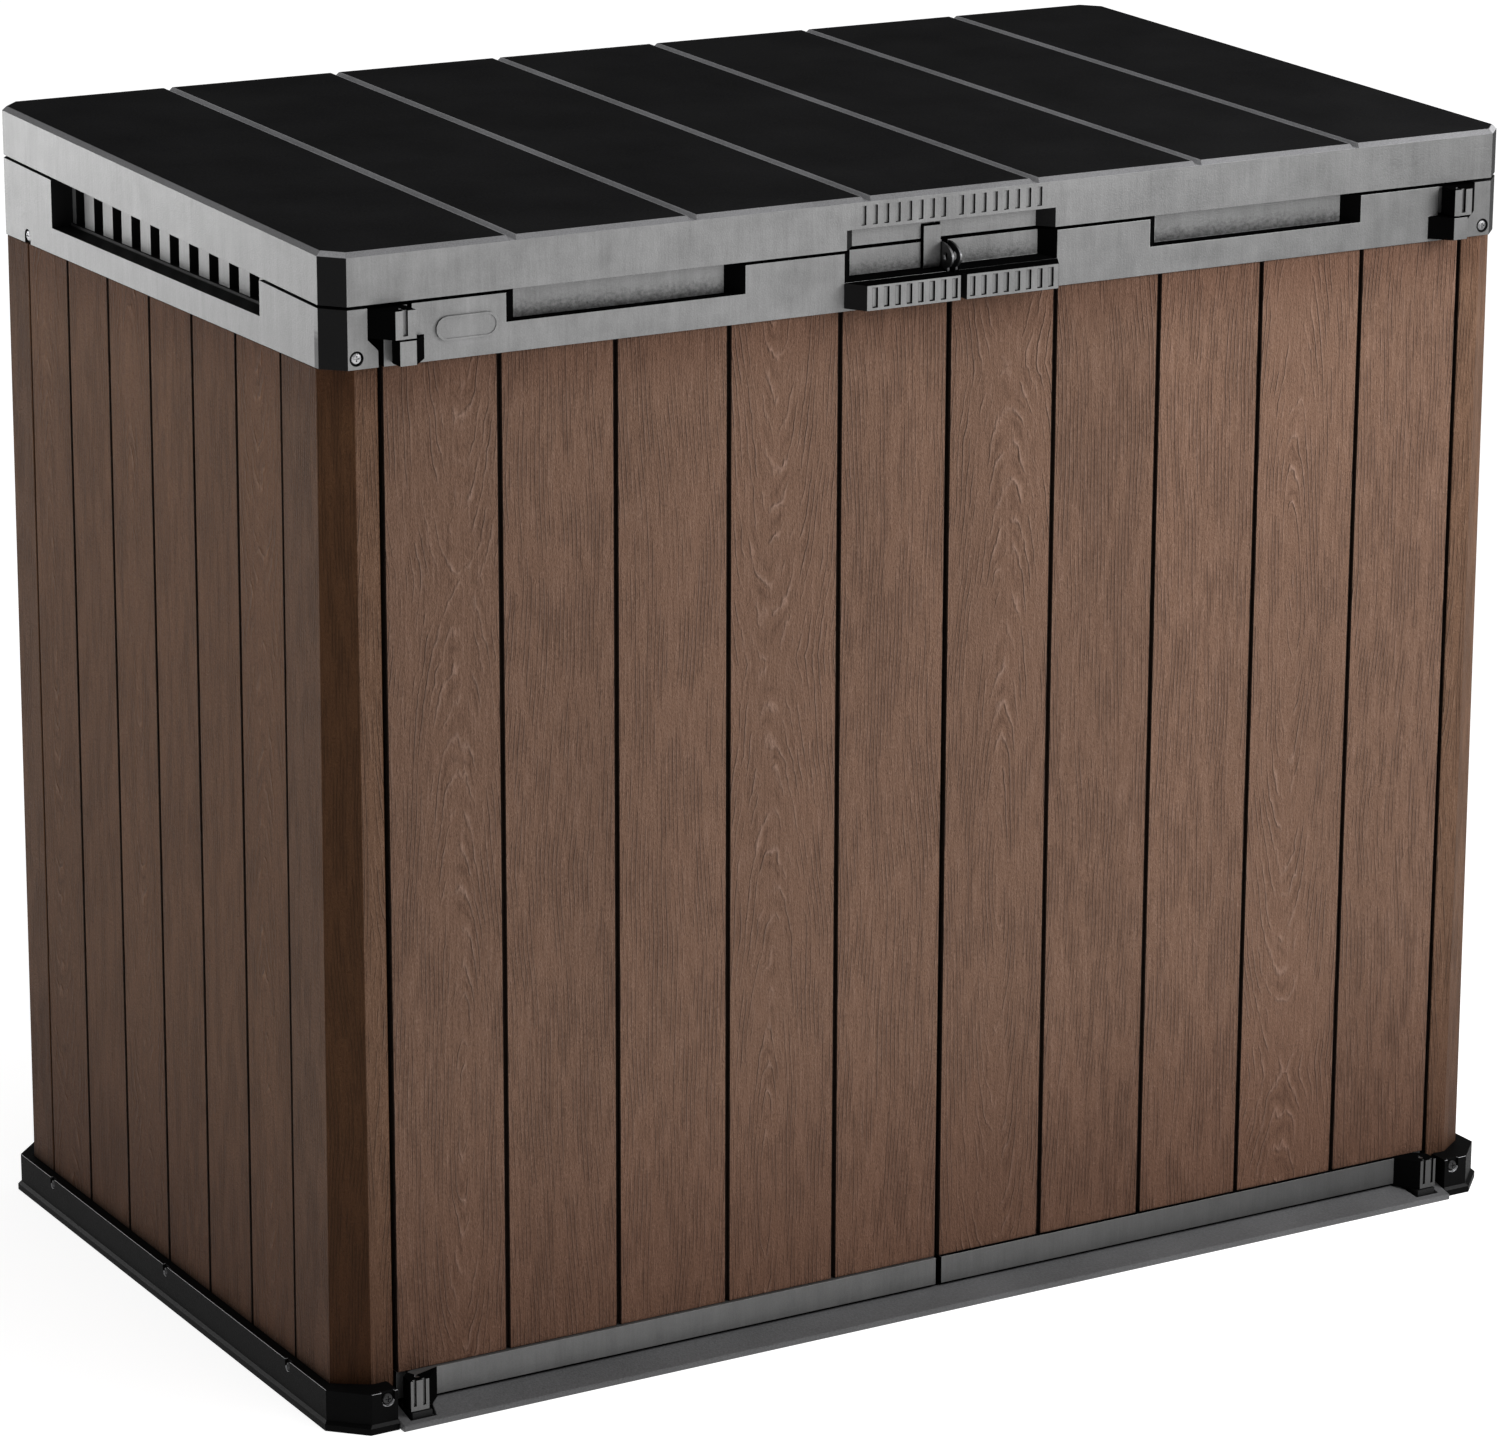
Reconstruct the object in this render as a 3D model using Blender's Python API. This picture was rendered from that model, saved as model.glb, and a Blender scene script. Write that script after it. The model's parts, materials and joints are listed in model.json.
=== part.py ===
"""Deck storage box: floor tray, planked walls, a top frame, a hinged lid and two front doors.

Metres, +X right, -Y front, +Z up. The origin lies on the ground under the middle of the box.
Left and right are as seen by someone facing the doors.
"""

import math

import bmesh
import bpy
from mathutils import Matrix, Vector

# ---------------------------------------------------------------- body
BODY_W = 1.386            # width over the lid and the top frame
BODY_D = 0.791            # depth over the lid and the top frame
BODY_CORNER = 0.0207      # flat across each vertical corner of the lid and the top frame
WALL_TOP = 1.0754         # height of the walls, where the top frame and the door rails begin
WALL_INSET = 0.004        # front and back walls lie this far inside the frame's faces
SIDE_INSET = 0.0005       # side walls at their top, inside the frame's side faces
WALL_FLARE = 0.006        # the side walls lean out by this much from their top to their foot
WALL_T = 0.024            # thickness of walls, posts and door panels
REAR_CORNER = 0.019       # flat across each rear post's corner
FRONT_CORNER_X = 0.0287   # flat across each front post's corner, along the front
FRONT_CORNER_Y = 0.0232   # and along the side
FRONT_POST_W = 0.0562     # from the frame's side face to the middle of the gap beside a door
FRONT_POST_D = 0.105      # from the frame's front face to the seam of the side wall
REAR_POST_W = 0.0545      # from the frame's side face to the seam of the back wall
REAR_POST_D = 0.0785      # from the frame's back face to the seam of the side wall
SEAM = 0.003              # open seam between neighbouring wall panels
TOUCH = 0.0003            # clearance between pieces that rest on or against each other

# ---------------------------------------------------------------- planks
DOOR_PLANKS = 5
SIDE_PLANKS = 6
GROOVE_W = 0.0042
GROOVE_DEPTH = 0.005

# ---------------------------------------------------------------- floor tray and threshold
TRAY_OUT_X = 0.020        # the tray stands out this far beyond the frame at each side
TRAY_OUT_Y = 0.0245       # and this far at the front and the back
TRAY_CORNER = 0.034
TRAY_H = 0.042
TRAY_BEAD_H = 0.010       # bead along the foot of the rim
TRAY_BEAD_OUT = 0.003
FLOOR_T = 0.015
TRAY_FIT = 0.0005         # clearance around the walls in the tray
FOOT_BLOCK_GAP = 0.0102   # from the middle of the gap beside a door to the front corner block
RAMP_OUT = 0.0086         # the ramp's toe stands out this far beyond the tray
RAMP_TOE_H = 0.006
RAMP_FLAT = 0.004         # level strip along the ramp's back edge
RAMP_NOTCH_SLANT = 0.012  # the ramp's notches widen by this much towards the doors
SUPPORT_Z0 = 0.0043
SUPPORT_Z1 = 0.0140
SUPPORT_TRIM = 0.001      # the supports are this much narrower at each side than the knuckles

# ---------------------------------------------------------------- top frame
FRAME_H = 0.0581          # height at the front
FRAME_T = 0.035
FRAME_FRONT_T = 0.030
CORNER_PLATE_TOP_W = 0.042     # width of the front corner plate beside the upper knuckle
CORNER_PLATE_LOW_W = 0.053     # and below it
CORNER_PLATE_STEP_Z = 0.0165   # height of the step above the frame's lower edge
REAR_RETURN_W = 0.093          # width of the side frames' return along the back
VENT_Y0 = -0.247
VENT_Y1 = 0.2515
VENT_DEPTH = 0.024
VENT_SILL = 0.0276        # height of the vent's sill above the frame's lower edge
VENT_SLOTS = 11
VENT_PITCH = 0.0465
VENT_SLOT_W = 0.022
VENT_SLOT_DROP = 0.0025   # slots end this far below the frame's top edge
VENT_LIP_H = 0.003        # raised lip along the foot of the vent's back wall
VENT_LIP_T = 0.002
OVERLAP = 0.005           # how far joined shapes run into each other

# ---------------------------------------------------------------- lid
SPLIT_GAP = 0.0030        # open line under the lid
LID_RISE = 0.0245         # the lid falls by this much from the back to the front
LID_BAND_H = 0.0469
LID_BEVEL = 0.0045
LID_RIM_W = 0.045
LID_HOLLOW_H = 0.030
LID_PLANKS = 7
LID_GROOVE_FLOOR = 0.006
LID_GROOVE_TOP = 0.010
PLATE_T = 0.002
PLATE_INSET = 0.0008
PLATE_FIT = 0.0003

# ---------------------------------------------------------------- lid hinges
LID_HINGE_X = 0.45
LID_HINGE_W = 0.100
LID_BARREL_R = 0.0095
LID_LEAF_T = 0.005
LID_LEAF_H = 0.040
LID_PIN_R = 0.003
LID_LEAF_ROOT = 0.004     # the leaf meets its barrel this far from the axis
LID_LEAF_NECK = 0.016     # and has its full thickness from here
LID_LEAF_START = 0.0175   # the plate between the knuckles starts here
LID_KNUCKLE_W = 0.030     # each outer knuckle
KNUCKLE_GAP = 0.001
PIN_FIT = 0.0003

# ---------------------------------------------------------------- doors
DOOR_GAP = 0.005          # open gap beside and between the door panels
RAIL_GAP = 0.0068         # open gap between the rails and handles of the two doors
TOP_RAIL_T = 0.036
FOOT_RAIL_OUT = 0.004     # the bottom rail stands this far in front of the panel
FOOT_RAIL_Z0 = 0.0180
FOOT_RAIL_H = 0.0295
FOOT_RAIL_END = 0.0435    # from the gap beside the door to the end of the bottom rail

# ---------------------------------------------------------------- door hinges
DOOR_AXIS_IN = 0.072      # hinge axis, in from the frame's side face
DOOR_AXIS_OUT = 0.0115    # hinge axis, in front of the frame's front face
DOOR_PIN_R = 0.003
PIN_SHORT = 0.001         # pins end this far inside the outer knuckles' faces
TOP_NOTCH_IN = 0.0168     # the top rail is cut back this far beyond the hinge axis
TOP_NOTCH_Z = 0.0280      # height of that notch above the frame's lower edge
KNUCKLE_REACH = 0.0095    # front of the top knuckles, in front of the axis
FOOT_KNUCKLE_REACH = 0.011
FOOT_KNUCKLE_W = 0.0245
KNUCKLE_MARGIN = 0.002
KNUCKLE_REST = 0.001      # half of the open gap between a fixed and a turning knuckle
KNUCKLE_ARM_ROOT = 0.030  # the upper arm leaves the rail this far inside the axis
KNUCKLE_ARM_END = 0.0065  # and ends this far outside it
ARM_DEPTH = 0.010         # how far an arm runs into its rail
ARM_SLOPE = 0.012
ARM_TAIL_OUT = 0.006
ARM_TAIL_IN = 0.004
ARM_SINK = 0.0005
BRACKET_HALF = 0.011      # half width of the fixed upper knuckle
BRACKET_TOP_GAP = 0.0015
BRACKET_BACK = 0.006
BRACKET_FLARE = 0.003
KNUCKLE_GROOVE_X0 = -0.002
KNUCKLE_GROOVE_X1 = 0.003
KNUCKLE_GROOVE_DEPTH = 0.003
FOOT_GROOVES = ((-0.0045, -0.0015), (0.0060, 0.0090))

# ---------------------------------------------------------------- handles, recesses, latch
HANDLE_OUT = 0.0229
HANDLE_W = 0.126
HANDLE_TAPER = 0.013
HANDLE_Z0 = 0.0032        # above the rail's lower edge
HANDLE_H = 0.0257
RIBS = 8
RIB_PITCH = 0.0133
RIB_FIRST = 0.0105        # first slot's middle, from the middle of the box
RIB_W = 0.0055
RIB_DEPTH = 0.0020
RIB_H = 0.0195
LID_RIBS_DOWN = 0.0136    # middle of the lid's ribs, below the band's top
LATCH_BAY_W = 0.1255      # half width of the central bay at the face
LATCH_BAY_DEPTH = 0.0145
LATCH_BAY_SLANT = 0.0146
LATCH_BAY_RISE = 0.0035   # the bay's floor rises by this much towards its back wall
LATCH_BAY_LID_H = 0.020
LATCH_BAY_LID_IN = 0.0025 # the lid's part of the bay is narrower by this much at each side
GRIP_X0 = 0.2387
GRIP_FROM_AXIS = 0.1177   # from the hinge axis to the grip's outer end
GRIP_DEPTH = 0.0155
GRIP_SLANT = 0.0157
GRIP_SILL = 0.0296
TAB_X0 = -0.0268
TAB_X1 = -0.0066
TAB_ABOVE_SPLIT = 0.0135
TAB_CLEAR = 0.0012
TAB_SLOT_DEPTH = 0.009
TAB_SLOT_FRONT = 0.005    # the slot under the tab begins this far in front of the back wall
TAB_FRONT = 0.0035        # the tab's face, in front of the back wall
TAB_BACK = 0.0065
TAB_HEAD = 0.002          # open height above the tongue in the lid
TAB_PIN_R = 0.0015
TAB_PIN_IN = 0.0033       # behind the bay's back wall
TAB_PIN_UP = 0.0054       # above the handles' top
TAB_PIN_LEFT = 0.006      # the pin's bore begins this far beyond the tab
TAB_PIN_RIGHT = 0.0028    # the pin ends this far beyond the tab
EYE_T = 0.0024
EYE_OUT = 0.024
EYE_HOLE_R = 0.0045
EYE_ARC_START = -50       # degrees below the level of the eye's widest point
EYE_SPACE = 0.0002
BADGE_W = 0.0667
BADGE_H = 0.0240
BADGE_FROM_AXIS = 0.075
BADGE_Z = 0.0301
BADGE_T = 0.0016
BADGE_BORDER = 0.0022

# ---------------------------------------------------------------- screws
SCREW_R = 0.0055
SMALL_SCREW_R = 0.0036
SCREW_HEAD_T = 0.0026
SCREW_SHANK_R = 0.0020
SCREW_SHANK_L = 0.016
SMALL_SHANK_L = 0.006
SCREW_POCKET_EXTRA = 0.0018
SCREW_POCKET_DEPTH = 0.003
SCREW_FIT = 0.0003
CORNER_SCREW_IN = 0.030   # from the frame's side face
CORNER_SCREW_Z = 0.0106   # above the frame's lower edge
REAR_SCREW_Y = 0.0785     # from the frame's back face
REAR_SCREW_Z = 0.0080
FOOT_SCREW_IN = 0.055     # from the tray's side
FOOT_SCREW_Z = 0.034
SIDE_SCREW_Z = 0.036
SIDE_SCREW_STEP = 0.295

# ---------------------------------------------------------------- values that follow
HALF_W = BODY_W / 2
HALF_D = BODY_D / 2
FACE = -HALF_D
WALL_X = HALF_W - SIDE_INSET
WALL_Z0 = FLOOR_T + TOUCH
WALL_Z1 = WALL_TOP - TOUCH
WALL_Y = HALF_D - WALL_INSET
TRAY_X = HALF_W + TRAY_OUT_X
TRAY_Y = HALF_D + TRAY_OUT_Y
DOOR_EDGE = HALF_W - FRONT_POST_W
FRONT_SEAM = FRONT_POST_D - HALF_D
REAR_SEAM = HALF_D - REAR_POST_D
FRAME_TOP = WALL_TOP + FRAME_H
SPLIT = FRAME_TOP + SPLIT_GAP
BAND_TOP = SPLIT + LID_BAND_H
LID_TOP = BAND_TOP + LID_BEVEL
RAMP_TOE_Y = TRAY_Y + RAMP_OUT
AXIS_X = HALF_W - DOOR_AXIS_IN
GRIP_X1 = AXIS_X - GRIP_FROM_AXIS
BADGE_X = BADGE_FROM_AXIS - AXIS_X
CORNER_X = DOOR_EDGE + FOOT_BLOCK_GAP
RAMP_BACK = -(WALL_Y - WALL_INSET / 2) - TOUCH * 2
SUPPORT_X0 = AXIS_X - FOOT_KNUCKLE_W / 2
SUPPORT_X1 = AXIS_X + FOOT_KNUCKLE_W / 2
AXIS_Y = FACE - DOOR_AXIS_OUT
SUPPORT_FRONT = AXIS_Y - FOOT_KNUCKLE_REACH - KNUCKLE_MARGIN / 2
HANDLE_TOP = WALL_TOP + HANDLE_Z0 + HANDLE_H
BAY_BACK = FACE + LATCH_BAY_DEPTH
PANEL_FRONT = -WALL_Y
FOOT_RAIL_TOP = FOOT_RAIL_Z0 + FOOT_RAIL_H
KNUCKLE_LOW = WALL_TOP + HANDLE_Z0
KNUCKLE_SPLIT = WALL_TOP + TOP_NOTCH_Z
LID_AXIS_Y = RAMP_TOE_Y - LID_BARREL_R
TAB_PIN_Y = BAY_BACK + TAB_PIN_IN
TAB_PIN_Z = HANDLE_TOP + TAB_PIN_UP
SAFE = 0.02               # how far cutting shapes run past a face


def rise(y):
    """Height gained by the lid and the frame's top edge between the front face and y."""
    return LID_RISE * (y + HALF_D) / BODY_D


def side_x(z):
    """Half width over the side walls at a height."""
    return WALL_X + WALL_FLARE * (WALL_Z1 - z) / (WALL_Z1 - WALL_Z0)


LID_AXIS_Z = SPLIT - SPLIT_GAP / 2 + rise(HALF_D)

MATERIALS = {
    "frame_grey": ((0.36, 0.36, 0.36), 0.45, 0.25),
    "plank_black": ((0.012, 0.012, 0.012), 0.45, 0.0),
    "wood_brown": ((0.15, 0.075, 0.045), 0.6, 0.0),
    "tray_black": ((0.02, 0.02, 0.022), 0.5, 0.0),
    "trim_black": ((0.015, 0.015, 0.016), 0.45, 0.0),
    "steel": ((0.45, 0.45, 0.46), 0.3, 1.0),
}


# ---------------------------------------------------------------- tools
def clear_scene():
    for old in list(bpy.data.objects):
        bpy.data.objects.remove(old, do_unlink=True)


def material(name):
    """The named plastic or metal, made once."""
    found = bpy.data.materials.get(name)
    if found:
        return found
    colour, roughness, metallic = MATERIALS[name]
    made = bpy.data.materials.new(name)
    made.use_nodes = True
    shader = made.node_tree.nodes["Principled BSDF"]
    shader.inputs["Base Color"].default_value = (*colour, 1.0)
    shader.inputs["Roughness"].default_value = roughness
    shader.inputs["Metallic"].default_value = metallic
    return made


def loft(rings):
    """A closed solid through a stack of rings that have the same number of corners."""
    shape = bmesh.new()
    loops = [[shape.verts.new(point) for point in ring] for ring in rings]
    for low, high in zip(loops, loops[1:]):
        for i, corner in enumerate(low):
            j = (i + 1) % len(low)
            shape.faces.new((corner, low[j], high[j], high[i]))
    shape.faces.new(loops[0])
    shape.faces.new(loops[-1])
    bmesh.ops.recalc_face_normals(shape, faces=shape.faces)
    return shape


def lifted(point, level, axis):
    """The corner of a flat outline, moved to a level along the axis across it."""
    u, v = point
    w = level(u, v) if callable(level) else level
    return {"X": (w, u, v), "Y": (u, w, v), "Z": (u, v, w)}[axis]


def prism(outline, low, high, axis="Z"):
    """The outline is (y, z) for axis X, (x, z) for Y and (x, y) for Z."""
    return loft([[lifted(point, level, axis) for point in outline] for level in (low, high)])


def box(x0, x1, y0, y1, z0, z1):
    return prism([(x0, y0), (x1, y0), (x1, y1), (x0, y1)], z0, z1)


def circle(u, v, radius, count, start=0.0, turn=2 * math.pi):
    """Points around a circle; a part turn has points at both of its ends."""
    steps = count if turn == 2 * math.pi else count - 1
    angles = [start + turn * i / steps for i in range(count)]
    return [(u + radius * math.cos(a), v + radius * math.sin(a)) for a in angles]


def rod(u, v, radius, low, high, axis, count=16):
    return prism(circle(u, v, radius, count), low, high, axis)


def octagon(half_x, half_y, corner):
    """A rectangle about the origin with its corners cut off."""
    inner_x = half_x - corner
    inner_y = half_y - corner
    return [
        (-inner_x, -half_y), (inner_x, -half_y), (half_x, -inner_y), (half_x, inner_y),
        (inner_x, half_y), (-inner_x, half_y), (-half_x, inner_y), (-half_x, -inner_y),
    ]


def at_level(outline, z):
    return [(x, y, z) for x, y in outline]


def stadium(u, v, width, height, count=8):
    """A bar with round ends."""
    radius = height / 2
    reach = width / 2 - radius
    right = circle(u + reach, v, radius, count, -math.pi / 2, math.pi)
    left = circle(u - reach, v, radius, count, math.pi / 2, math.pi)
    return right + left


def as_mesh(shape, name):
    mesh = bpy.data.meshes.new(name)
    shape.to_mesh(mesh)
    shape.free()
    return mesh


def combined(shape, tool, operation):
    """The shape after a Boolean with the tool; both are used up."""
    collection = bpy.context.scene.collection
    target = bpy.data.objects.new("target", as_mesh(shape, "target"))
    other = bpy.data.objects.new("tool", as_mesh(tool, "tool"))
    collection.objects.link(target)
    collection.objects.link(other)
    modifier = target.modifiers.new("combine", "BOOLEAN")
    modifier.operation = operation
    modifier.solver = "EXACT"
    modifier.object = other
    graph = bpy.context.evaluated_depsgraph_get()
    evaluated = target.evaluated_get(graph)
    result = bmesh.new()
    result.from_mesh(evaluated.to_mesh())
    evaluated.to_mesh_clear()
    for used in (target, other):
        mesh = used.data
        bpy.data.objects.remove(used, do_unlink=True)
        bpy.data.meshes.remove(mesh)
    return result


def cut(shape, *tools):
    for tool in tools:
        shape = combined(shape, tool, "DIFFERENCE")
    return shape


def joined(shape, *tools):
    for tool in tools:
        shape = combined(shape, tool, "UNION")
    return shape


def mirrored(shape, side):
    """Shapes are drawn for the right side; side -1 flips one to the left."""
    if side < 0:
        bmesh.ops.scale(shape, vec=(-1, 1, 1), verts=shape.verts)
        bmesh.ops.reverse_faces(shape, faces=shape.faces)
    return shape


def place(name, shape, colour, parent=None, origin=None, smooth=False):
    """Adds the piece under its parent, with its origin at its own middle unless one is given."""
    bmesh.ops.remove_doubles(shape, verts=shape.verts, dist=0.000001)
    if origin is None:
        lows = [min(v.co[i] for v in shape.verts) for i in range(3)]
        highs = [max(v.co[i] for v in shape.verts) for i in range(3)]
        origin = [(low + high) / 2 for low, high in zip(lows, highs)]
    bmesh.ops.translate(shape, vec=-Vector(origin), verts=shape.verts)
    piece = bpy.data.objects.new(name, as_mesh(shape, name))
    piece.data.materials.append(material(colour))
    if smooth:
        piece.data.shade_smooth()
        piece.data.set_sharp_from_angle(angle=math.radians(35))
    bpy.context.scene.collection.objects.link(piece)
    base = Vector(parent.location) if parent else Vector((0, 0, 0))
    piece.location = Vector(origin) - base
    piece.parent = parent
    return piece


def pivot(name, location, parent=None):
    """An empty on a joint's axis, which carries everything that turns about it."""
    empty = bpy.data.objects.new(name, None)
    empty.location = location
    empty.empty_display_size = 0.05
    bpy.context.scene.collection.objects.link(empty)
    empty.parent = parent
    return empty


# ---------------------------------------------------------------- screws
def screw_shape(radius, length):
    """Pan head with a cross recess, looking along +Z, its seat at z = 0."""
    rings = []
    for share_r, share_z in ((0.0, 1.0), (0.55, 0.96), (0.9, 0.7), (1.0, 0.35), (1.0, 0.0)):
        rings.append((radius * share_r, SCREW_HEAD_T * share_z))
    levels = [(SCREW_SHANK_R, -length), (SCREW_SHANK_R, 0.0)]
    levels += [(r, z) for r, z in reversed(rings) if r > 0]
    shape = loft([at_level(circle(0, 0, r, 12), z) for r, z in levels])
    arm = radius * 0.55
    half = radius * 0.13
    floor = SCREW_HEAD_T * 0.4
    across = box(-arm, arm, -half, half, floor, SCREW_HEAD_T * 2)
    along = box(-half, half, -arm, arm, floor, SCREW_HEAD_T * 2)
    return cut(shape, across, along)


def add_screw(name, seat, direction, radius=SCREW_R, length=SCREW_SHANK_L):
    """Seats a screw; its head looks along the direction."""
    piece = place(name, screw_shape(radius, length), "steel", origin=(0, 0, 0), smooth=True)
    outward = Vector(direction)
    piece.rotation_euler = outward.to_track_quat("Z", "Y").to_euler()
    piece.location = Vector(seat) - outward * (SCREW_POCKET_DEPTH - SCREW_FIT)


def screw_pocket(seat, axis, sign, radius=SCREW_R, opening=0, length=SCREW_SHANK_L):
    """Round pocket for a head and the hole for its shank. Opening +1 or -1 runs it out up or down."""
    x, y, z = seat
    u = y if axis == "X" else x
    face = x if axis == "X" else y
    wide = radius + SCREW_POCKET_EXTRA
    out = face + sign * SAFE
    floor = face - sign * SCREW_POCKET_DEPTH
    end = floor - sign * (length + TRAY_FIT)
    low, high = sorted((floor, out))
    if opening:
        arc = circle(u, z, wide, 13, 0.0 if opening < 0 else math.pi, math.pi)
        foot = z + opening * SAFE
        outline = arc + [(arc[-1][0], foot), (arc[0][0], foot)]
    else:
        outline = circle(u, z, wide, 24)
    pocket = prism(outline, low, high, axis)
    low, high = sorted((end, out))
    return pocket, rod(u, z, SCREW_SHANK_R + SCREW_FIT, low, high, axis, 12)


# ---------------------------------------------------------------- floor
def pocket_plan():
    """Plan of the tray's pocket around the feet of the walls."""
    x = side_x(WALL_Z0) + TRAY_FIT
    y = WALL_Y + TRAY_FIT
    front_x = FRONT_CORNER_X + WALL_FLARE
    right = [(x - front_x, -y), (x, FRONT_CORNER_Y - y), (x, y - REAR_CORNER), (x - REAR_CORNER, y)]
    return right + [(-u, v) for u, v in reversed(right)]


def side_screw_seats(side):
    x = side * (TRAY_X - TRAY_BEAD_OUT)
    return [(x, step * SIDE_SCREW_STEP, SIDE_SCREW_Z) for step in (-1, 0, 1)]


def foot_screw_seat(side):
    return (side * (TRAY_X - FOOT_SCREW_IN), -(TRAY_Y - TRAY_BEAD_OUT), FOOT_SCREW_Z)


def floor_tray():
    bead = octagon(TRAY_X, TRAY_Y, TRAY_CORNER)
    rim = octagon(TRAY_X - TRAY_BEAD_OUT, TRAY_Y - TRAY_BEAD_OUT, TRAY_CORNER)
    levels = [(bead, 0), (bead, TRAY_BEAD_H - TRAY_BEAD_OUT), (rim, TRAY_BEAD_H), (rim, TRAY_H)]
    shape = loft([at_level(outline, z) for outline, z in levels])
    shape = cut(shape, prism(pocket_plan(), FLOOR_T, TRAY_H + SAFE))
    doorway = box(-CORNER_X, CORNER_X, -TRAY_Y - SAFE, -WALL_Y + SAFE, FLOOR_T, TRAY_H + SAFE)
    ramp_bay = box(-CORNER_X, CORNER_X, -TRAY_Y - SAFE, RAMP_BACK, -SAFE, TRAY_H)
    shape = cut(shape, doorway, ramp_bay)
    for side in (-1, 1):
        for seat in side_screw_seats(side):
            shape = cut(shape, *screw_pocket(seat, "X", side, SMALL_SCREW_R, 1, SMALL_SHANK_L))
        shape = cut(shape, *screw_pocket(foot_screw_seat(side), "Y", -1, SCREW_R, 1))
    place("floor_tray", shape, "tray_black", origin=(0, 0, 0))
    for side, word in ((-1, "left"), (1, "right")):
        for number, seat in enumerate(side_screw_seats(side), 1):
            add_screw(f"tray_screw_{word}_{number}", seat, (side, 0, 0), SMALL_SCREW_R, SMALL_SHANK_L)
        add_screw(f"tray_screw_front_{word}", foot_screw_seat(side), (0, -1, 0))


def door_ramp():
    """Sloping threshold in front of the doors, with a pocket for each hinge support."""
    back = RAMP_BACK - TOUCH
    crest = FLOOR_T - TOUCH
    flat = back - RAMP_FLAT
    profile = [(back, 0), (-RAMP_TOE_Y, 0), (-RAMP_TOE_Y, RAMP_TOE_H), (flat, crest), (back, crest)]
    shape = prism(profile, -CORNER_X + TRAY_FIT, CORNER_X - TRAY_FIT, "X")
    for side in (-1, 1):
        inner = SUPPORT_X0 - KNUCKLE_MARGIN
        outer = SUPPORT_X1 + KNUCKLE_MARGIN
        front = SUPPORT_FRONT - KNUCKLE_MARGIN
        plan = [(inner, front), (outer, front), (outer, back + SAFE), (inner - RAMP_NOTCH_SLANT, back + SAFE)]
        shape = cut(shape, mirrored(prism(plan, SUPPORT_Z0 - TOUCH, TRAY_H), side))
    place("door_ramp", shape, "tray_black")


def hinge_support(side, word):
    """Block on the ramp that carries a door's lower pin."""
    back = RAMP_BACK - 2 * TOUCH
    x0 = SUPPORT_X0 + SUPPORT_TRIM
    x1 = SUPPORT_X1 - SUPPORT_TRIM
    shape = box(x0, x1, SUPPORT_FRONT, back, SUPPORT_Z0, SUPPORT_Z1)
    shape = cut(shape, rod(AXIS_X, AXIS_Y, DOOR_PIN_R + PIN_FIT, 0, TRAY_H, "Z"))
    place(f"hinge_support_{word}", mirrored(shape, side), "trim_black")


# ---------------------------------------------------------------- walls
def side_groove(centre):
    """Groove down the leaning outer face of the right side wall."""
    low = side_x(0)
    top = WALL_TOP + SAFE
    high = side_x(top)
    outline = [(low - GROOVE_DEPTH, 0), (low + SAFE, 0), (high + SAFE, top), (high - GROOVE_DEPTH, top)]
    return prism(outline, centre - GROOVE_W / 2, centre + GROOVE_W / 2, "Y")


def face_groove(centre, face, sign):
    """Groove down an upright face that looks to the front (sign -1) or the back (+1)."""
    y0, y1 = sorted((face - sign * GROOVE_DEPTH, face + sign * SAFE))
    return box(centre - GROOVE_W / 2, centre + GROOVE_W / 2, y0, y1, 0, WALL_TOP + SAFE)


def side_wall(side, word):
    y0 = FRONT_SEAM + SEAM / 2
    y1 = REAR_SEAM - SEAM / 2
    pitch = (REAR_SEAM - FRONT_SEAM) / SIDE_PLANKS
    inner = WALL_X - WALL_T
    outline = [(inner, WALL_Z0), (side_x(WALL_Z0), WALL_Z0), (WALL_X, WALL_Z1), (inner, WALL_Z1)]
    tools = [side_groove(FRONT_SEAM + pitch * i) for i in range(1, SIDE_PLANKS)]
    shape = cut(prism(outline, y0, y1, "Y"), *tools)
    place(f"side_wall_{word}", mirrored(shape, side), "wood_brown")


def post(plan):
    """A corner post whose plan depends on the half width at each height."""
    shape = loft([at_level(plan(side_x(z)), z) for z in (WALL_Z0, WALL_Z1)])
    bmesh.ops.connect_verts_nonplanar(shape, angle_limit=0.0001, faces=shape.faces)
    return shape


def front_post(side, word):
    inner = WALL_X - WALL_T
    back = -WALL_Y + WALL_T
    edge = DOOR_EDGE + DOOR_GAP / 2
    seam = FRONT_SEAM - SEAM / 2
    flat = WALL_X - FRONT_CORNER_X

    def plan(outer):
        start = [(edge, -WALL_Y), (flat, -WALL_Y), (outer, FRONT_CORNER_Y - WALL_Y)]
        return start + [(outer, seam), (inner, seam), (inner, back), (edge, back)]

    place(f"front_post_{word}", mirrored(post(plan), side), "wood_brown")


def rear_post(side, word):
    inner = WALL_X - WALL_T
    front = WALL_Y - WALL_T
    edge = HALF_W - REAR_POST_W + SEAM / 2
    seam = REAR_SEAM + SEAM / 2
    flat = WALL_X - REAR_CORNER

    def plan(outer):
        start = [(outer, seam), (outer, WALL_Y - REAR_CORNER), (flat, WALL_Y)]
        return start + [(edge, WALL_Y), (edge, front), (inner, front), (inner, seam)]

    place(f"rear_post_{word}", mirrored(post(plan), side), "wood_brown")


def back_panel(side, word):
    edge = HALF_W - REAR_POST_W
    pitch = edge / DOOR_PLANKS
    shape = box(SEAM / 2, edge - SEAM / 2, WALL_Y - WALL_T, WALL_Y, WALL_Z0, WALL_Z1)
    tools = [face_groove(pitch * i, WALL_Y, 1) for i in range(1, DOOR_PLANKS)]
    place(f"back_panel_{word}", mirrored(cut(shape, *tools), side), "wood_brown")


# ---------------------------------------------------------------- top frame
def frame_top(x, y):
    return FRAME_TOP + rise(y)


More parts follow.
